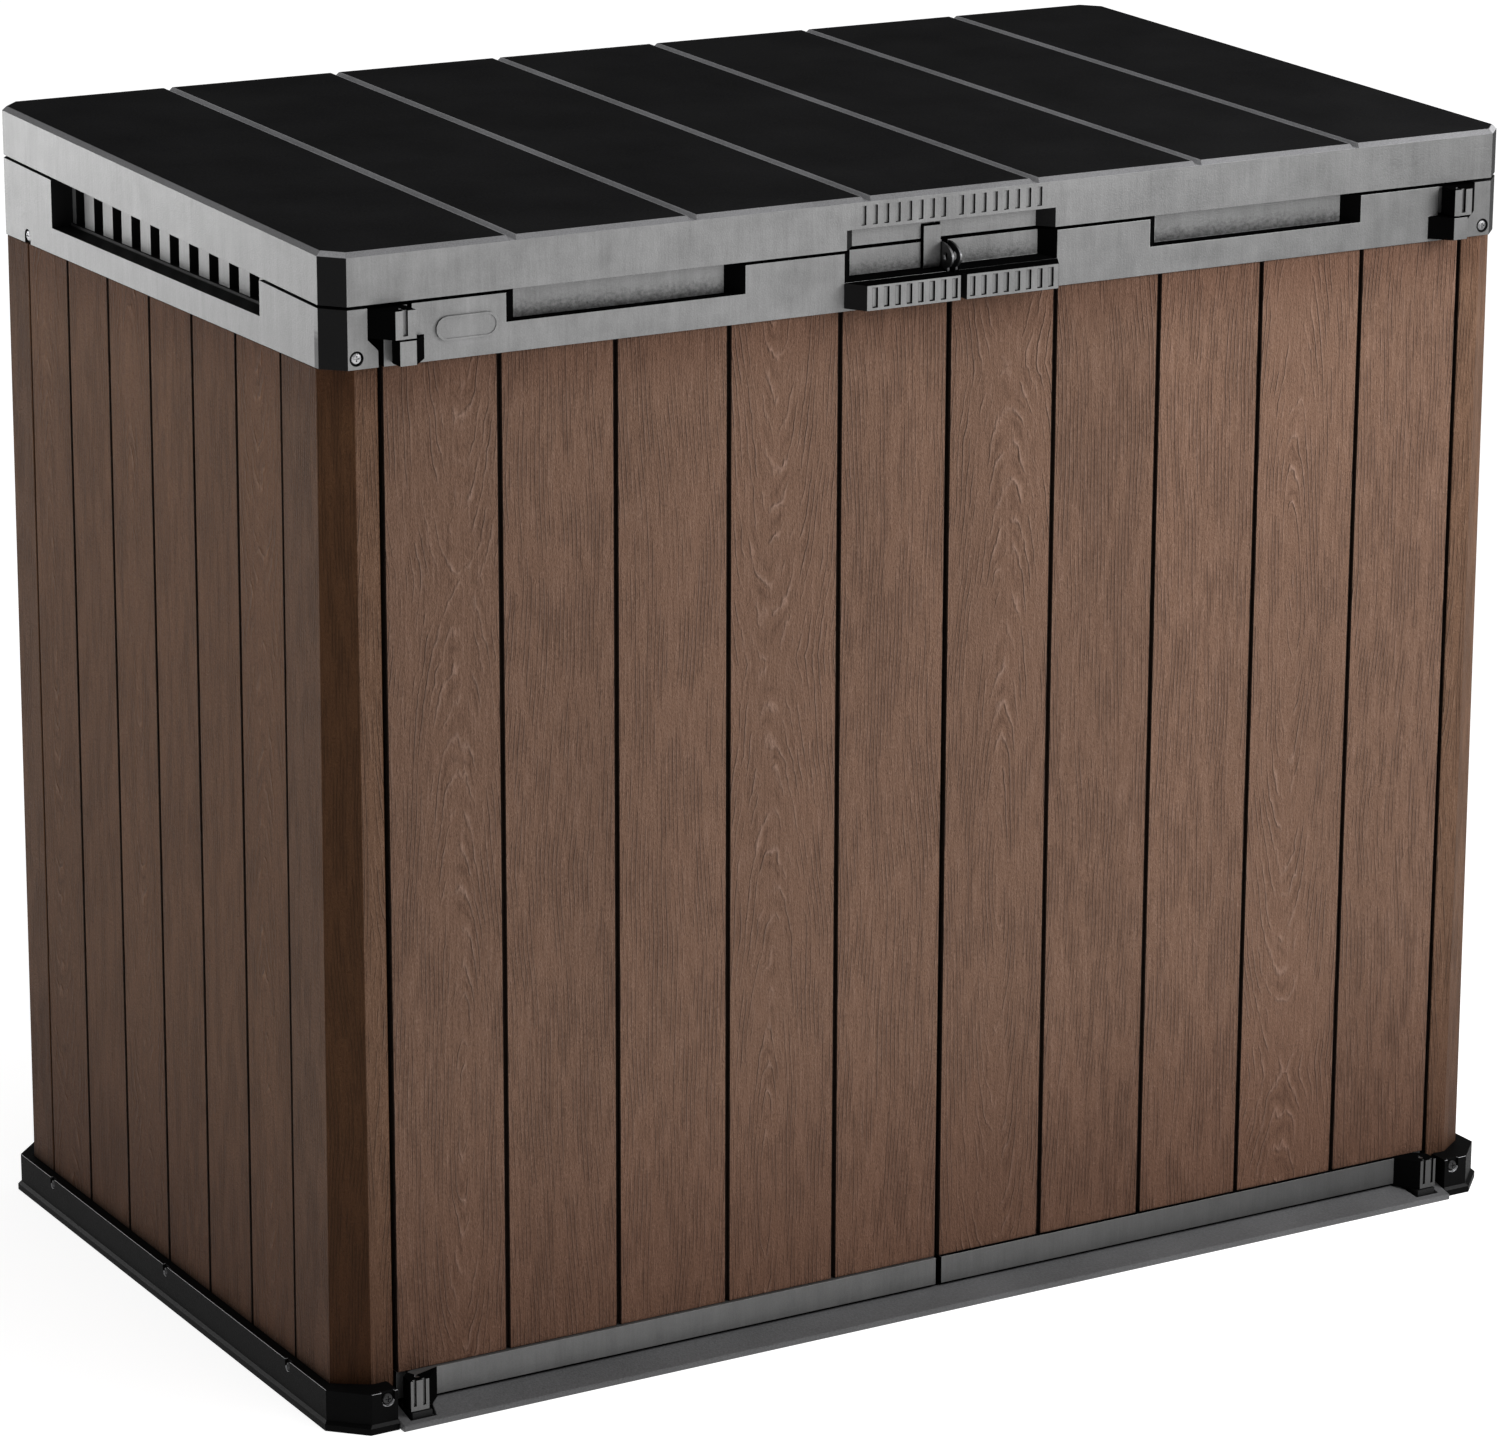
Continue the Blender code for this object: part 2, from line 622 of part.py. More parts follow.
def vent_slot(y):
    low = WALL_TOP + VENT_SILL + VENT_LIP_H
    ends = (y - VENT_SLOT_W / 2, y + VENT_SLOT_W / 2)
    tops = [FRAME_TOP + rise(end) - VENT_SLOT_DROP for end in ends]
    outline = [(ends[0], low), (ends[1], low), (ends[1], tops[1]), (ends[0], tops[0])]
    return prism(outline, HALF_W - FRAME_T - SAFE, HALF_W, "X")


def side_frame(side, word):
    """Side band with its vented recess, the front corner plate and the return along the back."""
    inner = HALF_W - FRAME_T
    corner = BODY_CORNER
    plan = [
        (inner, -HALF_D), (HALF_W - corner, -HALF_D), (HALF_W, -HALF_D + corner),
        (HALF_W, HALF_D - corner), (HALF_W - corner, HALF_D), (inner, HALF_D),
    ]
    shape = prism(plan, WALL_TOP, frame_top)
    high = HALF_W - CORNER_PLATE_TOP_W
    low = HALF_W - CORNER_PLATE_LOW_W
    step = WALL_TOP + CORNER_PLATE_STEP_Z
    lap = inner + OVERLAP
    plate = [
        (low, WALL_TOP), (lap, WALL_TOP), (lap, FRAME_TOP),
        (high, FRAME_TOP), (high, step + high - low), (low, step),
    ]
    shape = joined(shape, prism(plate, FACE, FACE + FRAME_FRONT_T, "Y"))
    back = HALF_W - REAR_RETURN_W
    start = HALF_D - FRAME_T
    rear = [(back, start), (lap, start), (lap, HALF_D), (back, HALF_D)]
    shape = joined(shape, prism(rear, WALL_TOP, frame_top))
    wall = HALF_W - VENT_DEPTH
    sill = WALL_TOP + VENT_SILL
    vent = box(wall, HALF_W + SAFE, VENT_Y0, VENT_Y1, sill, SPLIT + LID_RISE + SAFE)
    y0 = VENT_Y0 - VENT_LIP_T
    y1 = VENT_Y1 + VENT_LIP_T
    lip = box(wall - VENT_LIP_T, wall + VENT_LIP_T, y0, y1, sill - VENT_LIP_H, sill + VENT_LIP_H)
    shape = joined(cut(shape, vent), lip)
    middle = (VENT_SLOTS - 1) / 2
    for i in range(VENT_SLOTS):
        shape = cut(shape, vent_slot((i - middle) * VENT_PITCH))
    shape = cut(shape, *screw_pocket(corner_screw_seat(1), "Y", -1))
    shape = cut(shape, *screw_pocket(rear_screw_seat(1), "X", 1, SCREW_R, -1))
    place(f"top_frame_{word}", mirrored(shape, side), "frame_grey")
    add_screw(f"frame_screw_front_{word}", corner_screw_seat(side), (0, -1, 0))
    add_screw(f"frame_screw_side_{word}", rear_screw_seat(side), (side, 0, 0))


def corner_screw_seat(side):
    return (side * (HALF_W - CORNER_SCREW_IN), FACE, WALL_TOP + CORNER_SCREW_Z)


def rear_screw_seat(side):
    return (side * HALF_W, HALF_D - REAR_SCREW_Y, WALL_TOP + REAR_SCREW_Z)


def back_frame():
    edge = HALF_W - REAR_RETURN_W - TOUCH
    plan = [(-edge, HALF_D - FRAME_T), (edge, HALF_D - FRAME_T), (edge, HALF_D), (-edge, HALF_D)]
    place("top_frame_back", prism(plan, WALL_TOP, frame_top), "frame_grey")


def corner_hinge(side, word):
    """Fixed upper knuckle on its bracket, between the corner plate and the door's top rail."""
    z0 = KNUCKLE_SPLIT + KNUCKLE_REST
    z1 = FRAME_TOP - BRACKET_TOP_GAP
    plate = HALF_W - CORNER_PLATE_TOP_W - TRAY_FIT
    inner = AXIS_X - TOP_NOTCH_IN + BRACKET_FLARE
    body = box(inner, plate, FACE + WALL_INSET, FACE + FRAME_FRONT_T, z0, z1)
    front = AXIS_Y - KNUCKLE_REACH
    back = FACE + BRACKET_BACK
    left = AXIS_X - BRACKET_HALF
    plan = [
        (plate, FACE + ARM_SINK), (AXIS_X + BRACKET_HALF, front), (left, front),
        (left, FACE + KNUCKLE_MARGIN), (left + BRACKET_FLARE, back), (plate, back),
    ]
    shape = joined(body, prism(plan, z0, z1))
    floor = front + KNUCKLE_GROOVE_DEPTH
    x0 = AXIS_X + KNUCKLE_GROOVE_X0
    x1 = AXIS_X + KNUCKLE_GROOVE_X1
    groove = box(x0, x1, front - SAFE, floor, z0 + KNUCKLE_GROOVE_DEPTH, z1 + SAFE)
    hole = rod(AXIS_X, AXIS_Y, DOOR_PIN_R + PIN_FIT, z0 - SAFE, z1 + SAFE, "Z")
    shape = cut(shape, groove, hole)
    place(f"corner_hinge_{word}", mirrored(shape, side), "frame_grey")


# ---------------------------------------------------------------- lid
def sheared(shape):
    """Tilts a lid piece drawn level: its height follows the fall to the front."""
    for vert in shape.verts:
        vert.co.z += rise(vert.co.y)
    return shape


def plank_plan(index, inset):
    """Plan of one lid plank, inset from its edges; the end planks have two cut corners."""
    pitch = BODY_W / LID_PLANKS
    first = index == 0
    last = index == LID_PLANKS - 1
    x0 = -HALF_W + index * pitch + (LID_BEVEL if first else LID_GROOVE_TOP / 2) + inset
    x1 = -HALF_W + (index + 1) * pitch - (LID_BEVEL if last else LID_GROOVE_TOP / 2) - inset
    y1 = HALF_D - LID_BEVEL - inset
    corner = BODY_CORNER - (LID_BEVEL + inset) * (2 - math.sqrt(2))
    points = []
    for x, y, sloped in ((x0, -y1, first), (x1, -y1, last), (x1, y1, last), (x0, y1, first)):
        if not sloped:
            points.append((x, y))
            continue
        to_x = (x + math.copysign(corner, -x), y)
        to_y = (x, y + math.copysign(corner, -y))
        points += [to_y, to_x] if x * y > 0 else [to_x, to_y]
    return points


def rib_slots(face, z_middle):
    """A row of shallow vertical slots on the right half."""
    tools = []
    for i in range(RIBS):
        x = RIB_FIRST + RIB_PITCH * i
        z0 = z_middle - RIB_H / 2
        tools.append(box(x - RIB_W / 2, x + RIB_W / 2, face - SAFE, face + RIB_DEPTH, z0, z0 + RIB_H))
    return tools


def bay_plan(half, depth, slant):
    """Plan of the central bay, drawn in front of the face as well."""
    wide = half + slant * SAFE / depth
    narrow = half - slant
    return [(wide, FACE - SAFE), (narrow, FACE + depth), (-narrow, FACE + depth), (-wide, FACE - SAFE)]


def lid_shell(lid):
    outer = octagon(HALF_W, HALF_D, BODY_CORNER)
    small = BODY_CORNER - LID_BEVEL * (2 - math.sqrt(2))
    inset = octagon(HALF_W - LID_BEVEL, HALF_D - LID_BEVEL, small)
    shape = loft([at_level(outer, SPLIT), at_level(outer, BAND_TOP), at_level(inset, LID_TOP)])
    hollow_x = HALF_W - LID_RIM_W
    hollow_y = HALF_D - LID_RIM_W
    shape = cut(shape, box(-hollow_x, hollow_x, -hollow_y, hollow_y, SPLIT - SAFE, SPLIT + LID_HOLLOW_H))
    pitch = BODY_W / LID_PLANKS
    low = LID_GROOVE_FLOOR / 2
    grow = (LID_GROOVE_TOP - LID_GROOVE_FLOOR) / 2
    high = low + grow * (SAFE / LID_BEVEL + 1)
    top = LID_TOP + SAFE
    for i in range(1, LID_PLANKS):
        x = -HALF_W + pitch * i
        outline = [(x - low, BAND_TOP), (x + low, BAND_TOP), (x + high, top), (x - high, top)]
        shape = cut(shape, prism(outline, -HALF_D - SAFE, HALF_D + SAFE, "Y"))
    for i in range(LID_PLANKS):
        shape = cut(shape, prism(plank_plan(i, PLATE_INSET), LID_TOP - PLATE_T - PLATE_FIT, top))
    plan = bay_plan(LATCH_BAY_W - LATCH_BAY_LID_IN, LATCH_BAY_DEPTH, LATCH_BAY_SLANT)
    bay = prism(plan, SPLIT - SAFE, SPLIT + LATCH_BAY_LID_H)
    notch = box(
        TAB_X0 - TAB_CLEAR, TAB_X1 + TAB_CLEAR, BAY_BACK - TAB_FRONT, BAY_BACK + TAB_SLOT_DEPTH,
        SPLIT - SAFE, SPLIT + TAB_ABOVE_SPLIT + TAB_HEAD,
    )
    shape = cut(shape, bay, notch)
    middle = BAND_TOP - LID_RIBS_DOWN
    for side in (-1, 1):
        shape = cut(shape, *[mirrored(tool, side) for tool in rib_slots(FACE, middle)])
    place("lid_shell", sheared(shape), "frame_grey", lid)


def lid_planks(lid):
    for i in range(LID_PLANKS):
        plan = plank_plan(i, PLATE_INSET + PLATE_FIT)
        shape = prism(plan, LID_TOP - PLATE_T, LID_TOP)
        place(f"lid_plank_{i + 1}", sheared(shape), "plank_black", lid)


# ---------------------------------------------------------------- lid hinges
def knuckle_profile(leaf_end, upper):
    """Section of a leaf and its barrel, on the hinge axis at the back of the box."""
    y0 = HALF_D + TOUCH
    y1 = y0 + LID_LEAF_T
    up = 1 if upper else -1
    radius = LID_BARREL_R
    turn = math.radians(270)
    arc = circle(LID_AXIS_Y, LID_AXIS_Z, radius, 13, -up * turn / 2, up * turn)[::-1]
    root = LID_AXIS_Z + up * LID_LEAF_ROOT
    neck = LID_AXIS_Z + up * LID_LEAF_NECK
    return [(y0, leaf_end), (y1, leaf_end), (y1, neck)] + arc + [(y1, root), (y0, root)]


def hinge_leaf(x, upper):
    """The leaf plate with its knuckles: the outer two below, the middle one on the lid."""
    up = 1 if upper else -1
    end = LID_AXIS_Z + up * LID_LEAF_H
    half = LID_HINGE_W / 2
    inner = half - LID_KNUCKLE_W
    z0, z1 = sorted((LID_AXIS_Z + up * LID_LEAF_START, end))
    plate_x = inner - KNUCKLE_GAP if upper else half
    y0 = HALF_D + TOUCH
    shape = box(x - half, x + half, y0, y0 + LID_LEAF_T, z0, z1)
    spans = [(x - plate_x, x + plate_x)] if upper else [(x - half, x - inner), (x + inner, x + half)]
    for low, high in spans:
        shape = joined(shape, prism(knuckle_profile(end, upper), low, high, "X"))
    reach = half + SAFE
    return cut(shape, rod(LID_AXIS_Y, LID_AXIS_Z, LID_PIN_R + PIN_FIT, x - reach, x + reach, "X"))


def lid_hinge(side, word, lid):
    x = side * LID_HINGE_X
    place(f"lid_hinge_base_{word}", hinge_leaf(x, False), "trim_black", smooth=True)
    place(f"lid_hinge_leaf_{word}", hinge_leaf(x, True), "trim_black", lid, smooth=True)
    half = LID_HINGE_W / 2
    pin = rod(LID_AXIS_Y, LID_AXIS_Z, LID_PIN_R, x - half, x + half, "X")
    place(f"lid_hinge_pin_{word}", pin, "steel", smooth=True)


# ---------------------------------------------------------------- doors
def door_panel(side, word, door):
    pitch = DOOR_EDGE / DOOR_PLANKS
    z0 = FOOT_RAIL_TOP + TOUCH
    shape = box(DOOR_GAP / 2, DOOR_EDGE - DOOR_GAP / 2, PANEL_FRONT, PANEL_FRONT + WALL_T, z0, WALL_Z1)
    tools = [face_groove(pitch * i, PANEL_FRONT, -1) for i in range(1, DOOR_PLANKS)]
    place(f"door_panel_{word}", mirrored(cut(shape, *tools), side), "wood_brown", door)


def knuckle_arm(reach, root, outer, depth):
    """Plan of a door knuckle: from the rail's face out to the barrel and back along the rail."""
    front = AXIS_Y - reach
    face = FACE + ARM_SINK
    return [
        (root, face), (root + reach + DOOR_AXIS_OUT - KNUCKLE_MARGIN, front), (outer, front),
        (outer, AXIS_Y + ARM_TAIL_OUT), (AXIS_X + ARM_TAIL_IN, face + KNUCKLE_MARGIN),
        (root + ARM_SLOPE, face + depth), (root, face + depth),
    ]


def bay_floor(x, y):
    """Height of the central bay's floor, which rises a little towards the back."""
    return HANDLE_TOP + LATCH_BAY_RISE * (y - FACE) / LATCH_BAY_DEPTH


def door_top_rail(side, word, door):
    edge = DOOR_EDGE - DOOR_GAP / 2
    notch = AXIS_X - TOP_NOTCH_IN
    split = KNUCKLE_SPLIT - KNUCKLE_REST
    outline = [
        (RAIL_GAP / 2, WALL_TOP), (edge, WALL_TOP), (edge, split), (notch, split),
        (notch, FRAME_TOP), (RAIL_GAP / 2, FRAME_TOP),
    ]
    shape = prism(outline, FACE, FACE + TOP_RAIL_T, "Y")
    root = AXIS_X - KNUCKLE_ARM_ROOT
    arm = knuckle_arm(KNUCKLE_REACH, root, AXIS_X + KNUCKLE_ARM_END, ARM_DEPTH)
    shape = joined(shape, prism(arm, KNUCKLE_LOW, split))
    hole = rod(AXIS_X, AXIS_Y, DOOR_PIN_R + PIN_FIT, KNUCKLE_LOW - SAFE, split + SAFE, "Z")
    bay = prism(bay_plan(LATCH_BAY_W, LATCH_BAY_DEPTH, LATCH_BAY_SLANT), bay_floor, FRAME_TOP + SAFE)
    run = GRIP_SLANT * SAFE / GRIP_DEPTH
    grip_plan = [
        (GRIP_X0 - run, FACE - SAFE), (GRIP_X1 + run, FACE - SAFE),
        (GRIP_X1 - GRIP_SLANT, FACE + GRIP_DEPTH), (GRIP_X0 + GRIP_SLANT, FACE + GRIP_DEPTH),
    ]
    grip = prism(grip_plan, WALL_TOP + GRIP_SILL, FRAME_TOP + SAFE)
    shape = mirrored(cut(shape, hole, bay, grip), side)
    if side < 0:
        slot = box(
            TAB_X0 - TAB_CLEAR, TAB_X1 + TAB_CLEAR / 3, BAY_BACK - TAB_SLOT_FRONT, BAY_BACK + TAB_SLOT_DEPTH,
            HANDLE_TOP, FRAME_TOP + SAFE,
        )
        bore = rod(TAB_PIN_Y, TAB_PIN_Z, TAB_PIN_R + PIN_FIT, TAB_X0 - TAB_PIN_LEFT, SAFE, "X", 12)
        shape = cut(shape, slot, bore)
    place(f"door_top_rail_{word}", shape, "frame_grey", door)


def door_foot_rail(side, word, door):
    front = PANEL_FRONT - FOOT_RAIL_OUT
    end = DOOR_EDGE - FOOT_RAIL_END
    back = PANEL_FRONT + WALL_T
    shape = box(RAIL_GAP / 2, end, front, back, FOOT_RAIL_Z0, FOOT_RAIL_TOP)
    edge = DOOR_EDGE - DOOR_GAP / 2
    behind = box(end - SAFE, edge, PANEL_FRONT + ARM_TAIL_IN, back, FOOT_RAIL_Z0, FOOT_RAIL_TOP)
    arm = knuckle_arm(FOOT_KNUCKLE_REACH, end - SUPPORT_TRIM, SUPPORT_X1, ARM_DEPTH)
    shape = joined(shape, behind, prism(arm, SUPPORT_Z1 + KNUCKLE_GAP, FOOT_RAIL_TOP))
    tools = [rod(AXIS_X, AXIS_Y, DOOR_PIN_R + PIN_FIT, 0, FOOT_RAIL_TOP + SAFE, "Z")]
    floor = AXIS_Y - FOOT_KNUCKLE_REACH + KNUCKLE_GROOVE_DEPTH
    low = FOOT_RAIL_Z0 + KNUCKLE_MARGIN
    for x0, x1 in FOOT_GROOVES:
        tools.append(box(AXIS_X + x0, AXIS_X + x1, floor - SAFE, floor, low, FOOT_RAIL_TOP + SAFE))
    place(f"door_foot_rail_{word}", mirrored(cut(shape, *tools), side), "frame_grey", door)


def door_handle(side, word, door):
    back = FACE - TOUCH
    front = FACE - HANDLE_OUT
    plan = [(RAIL_GAP / 2, back), (HANDLE_W, back), (HANDLE_W - HANDLE_TAPER, front), (RAIL_GAP / 2, front)]
    z0 = WALL_TOP + HANDLE_Z0
    shape = prism(plan, z0, HANDLE_TOP)
    slots = rib_slots(front, z0 + HANDLE_H / 2)
    place(f"door_handle_{word}", mirrored(cut(shape, *slots), side), "frame_grey", door)


def padlock_eye(side, word, door):
    """Upright plate on the bay's back wall; a padlock goes through both doors' eyes."""
    wall = BAY_BACK - TOUCH
    low = HANDLE_TOP + TOUCH
    foot = bay_floor(0, BAY_BACK) + TOUCH
    half = (FRAME_TOP - KNUCKLE_REST - low) / 2
    middle = low + half
    start = math.radians(EYE_ARC_START)
    arc = circle(0, 0, 1.0, 13, start, math.pi / 2 - start)
    nose = [(wall - EYE_OUT * u, middle + half * v) for u, v in arc]
    outline = [(wall, foot), (FACE, low), (nose[0][0], low)] + nose
    inner = RAIL_GAP / 2 + EYE_SPACE
    shape = prism(outline, inner, inner + EYE_T, "X")
    hole = rod(wall - EYE_OUT / 2, middle, EYE_HOLE_R, -SAFE, SAFE, "X")
    place(f"padlock_eye_{word}", mirrored(cut(shape, hole), side), "steel", door)


def door_pins(side, word):
    """Steel pins of the upper and lower door hinges, fixed in the cabinet's own blocks."""
    top = FRAME_TOP - BRACKET_TOP_GAP - PIN_SHORT
    upper = rod(AXIS_X, AXIS_Y, DOOR_PIN_R, KNUCKLE_LOW + PIN_SHORT, top, "Z")
    lower = rod(AXIS_X, AXIS_Y, DOOR_PIN_R, SUPPORT_Z0 + TOUCH, FOOT_RAIL_TOP - PIN_SHORT, "Z")
    place(f"door_pin_top_{word}", mirrored(upper, side), "steel", smooth=True)
    place(f"door_pin_foot_{word}", mirrored(lower, side), "steel", smooth=True)


def add_door(side, word):
    axis = pivot(f"door_{word}_axis", (side * AXIS_X, AXIS_Y, 0))
    door_panel(side, word, axis)
    door_top_rail(side, word, axis)
    door_foot_rail(side, word, axis)
    door_handle(side, word, axis)
    padlock_eye(side, word, axis)
    door_pins(side, word)
    return axis


# ---------------------------------------------------------------- latch and badge
def latch_tab():
    """Rocking tab on the left door; its tongue stands up into the lid's notch."""
    axis = pivot("latch_axis", (0, TAB_PIN_Y, TAB_PIN_Z))
    front = BAY_BACK - TAB_FRONT
    back = BAY_BACK + TAB_BACK
    top = SPLIT + TAB_ABOVE_SPLIT
    outline = [
        (back, top), (back, TAB_PIN_Z - 0.002), (TAB_PIN_Y, TAB_PIN_Z - 0.0044),
        (front + 0.002, TAB_PIN_Z - 0.0034), (front, TAB_PIN_Z + 0.0025), (front, top),
    ]
    shape = prism(outline, TAB_X0, TAB_X1, "X")
    hole = rod(TAB_PIN_Y, TAB_PIN_Z, TAB_PIN_R + PIN_FIT, TAB_X0 - SAFE, TAB_X1 + SAFE, "X", 12)
    place("latch_tab", cut(shape, hole), "frame_grey", axis)


def latch_pin(door):
    left = TAB_X0 - TAB_PIN_LEFT + ARM_SINK
    shape = rod(TAB_PIN_Y, TAB_PIN_Z, TAB_PIN_R, left, TAB_X1 + TAB_PIN_RIGHT, "X", 12)
    place("latch_pin", shape, "steel", door, smooth=True)


def badge(door):
    """Blank name plate with a raised border."""
    z = WALL_TOP + BADGE_Z
    face = FACE - TOUCH
    shape = prism(stadium(BADGE_X, z, BADGE_W, BADGE_H), face - BADGE_T, face, "Y")
    inner = 2 * BADGE_BORDER
    field = stadium(BADGE_X, z, BADGE_W - inner, BADGE_H - inner)
    shape = cut(shape, prism(field, face - SAFE, face - BADGE_T / 2, "Y"))
    place("badge", shape, "frame_grey", door, smooth=True)


# ---------------------------------------------------------------- the whole box
def build():
    clear_scene()
    floor_tray()
    door_ramp()
    back_frame()
    lid = pivot("lid_axis", (0, LID_AXIS_Y, LID_AXIS_Z))
    lid_shell(lid)
    lid_planks(lid)
    for side, word in ((-1, "left"), (1, "right")):
        side_wall(side, word)
        front_post(side, word)
        rear_post(side, word)
        back_panel(side, word)
        side_frame(side, word)
        corner_hinge(side, word)
        hinge_support(side, word)
        lid_hinge(side, word, lid)
        door = add_door(side, word)
        if side < 0:
            latch_pin(door)
            badge(door)
    latch_tab()


build()
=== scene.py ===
"""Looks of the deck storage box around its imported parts: finishes, rounded edges, studio and camera."""

import json
import math

import bmesh
import bpy
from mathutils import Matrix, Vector


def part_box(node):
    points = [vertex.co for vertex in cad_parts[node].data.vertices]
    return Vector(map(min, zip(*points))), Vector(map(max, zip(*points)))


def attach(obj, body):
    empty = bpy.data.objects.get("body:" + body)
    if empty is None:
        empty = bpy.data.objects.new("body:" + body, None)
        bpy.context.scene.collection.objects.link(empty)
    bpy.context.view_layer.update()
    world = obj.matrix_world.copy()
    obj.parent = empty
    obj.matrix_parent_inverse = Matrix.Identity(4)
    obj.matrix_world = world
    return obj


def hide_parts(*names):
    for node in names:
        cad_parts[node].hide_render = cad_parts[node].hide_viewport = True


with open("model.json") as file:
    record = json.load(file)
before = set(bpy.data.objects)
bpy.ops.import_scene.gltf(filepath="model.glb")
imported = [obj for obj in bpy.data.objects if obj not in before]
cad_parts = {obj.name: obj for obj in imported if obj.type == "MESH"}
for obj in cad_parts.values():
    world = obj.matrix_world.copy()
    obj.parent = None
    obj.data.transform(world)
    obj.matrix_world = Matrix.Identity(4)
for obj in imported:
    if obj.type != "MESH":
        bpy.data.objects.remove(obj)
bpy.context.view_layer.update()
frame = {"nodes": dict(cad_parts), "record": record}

RECORD = frame["record"]
BODY_OF = {node: body for body, nodes in RECORD["behaviour"]["bodies"].items() for node in nodes}
SIDES = ("left", "right")

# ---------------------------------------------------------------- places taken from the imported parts
shell_low, shell_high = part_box("lid_shell")
panel_low, panel_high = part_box("door_panel_right")
wall_low, wall_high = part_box("side_wall_right")
_, post_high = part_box("front_post_right")
back_low, back_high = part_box("back_panel_right")
frame_low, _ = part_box("top_frame_right")
handle_low, handle_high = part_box("door_handle_right")
tray_low, tray_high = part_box("floor_tray")

HALF_W = shell_high[0]
FACE = shell_low[1]
BACK_FACE = -FACE
LID_FOOT = shell_low[2]
WALL_TOP = frame_low[2]
SILL = handle_high[2]
HANDLE_FACE = handle_low[1]
SEAM_GAP = wall_low[1] - post_high[1]

# planks: where the first one starts, and their pitch
DOOR_PLANKS = 5
SIDE_PLANKS = 6
BACK_PLANKS = 5
LID_PLANKS = 7
DOOR_EDGE = panel_high[0] + panel_low[0]
BACK_EDGE = back_high[0] + back_low[0]
SIDE_START = post_high[1] + SEAM_GAP / 2
SIDE_SPAN = wall_high[1] - wall_low[1] + SEAM_GAP
DOOR_PITCH = DOOR_EDGE / DOOR_PLANKS
SIDE_PITCH = SIDE_SPAN / SIDE_PLANKS
BACK_PITCH = BACK_EDGE / BACK_PLANKS
CORNER_START = -0.5

# side vents and the rows of ribs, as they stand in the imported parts
VENT_DEPTH = 0.024
VENT_LIP = 0.002
VENT_LIP_TOP = WALL_TOP + 0.0316
RIBS_HALF = 0.108         # half width of the row of ribs
RIBS_LOW = LID_FOOT + 0.0215
RIBS_HIGH = LID_FOOT + 0.0455
RIB_SHELL = 0.0026        # the ribs lie within this depth of their face
BAY_HALF = 0.13           # half width of the central bay
LID_AXIS = Vector(next(m["axis"] for m in RECORD["mounts"] if m["name"] == "lid_middle_plank"))


# ---------------------------------------------------------------- node graphs
NOISE_LOW = 0.3           # most of a noise's values lie between these two
NOISE_HIGH = 0.7


def opaque(value):
    """A colour of three numbers with full alpha; anything else as it is."""
    if isinstance(value, tuple) and len(value) == 3:
        return (*value, 1.0)
    return value


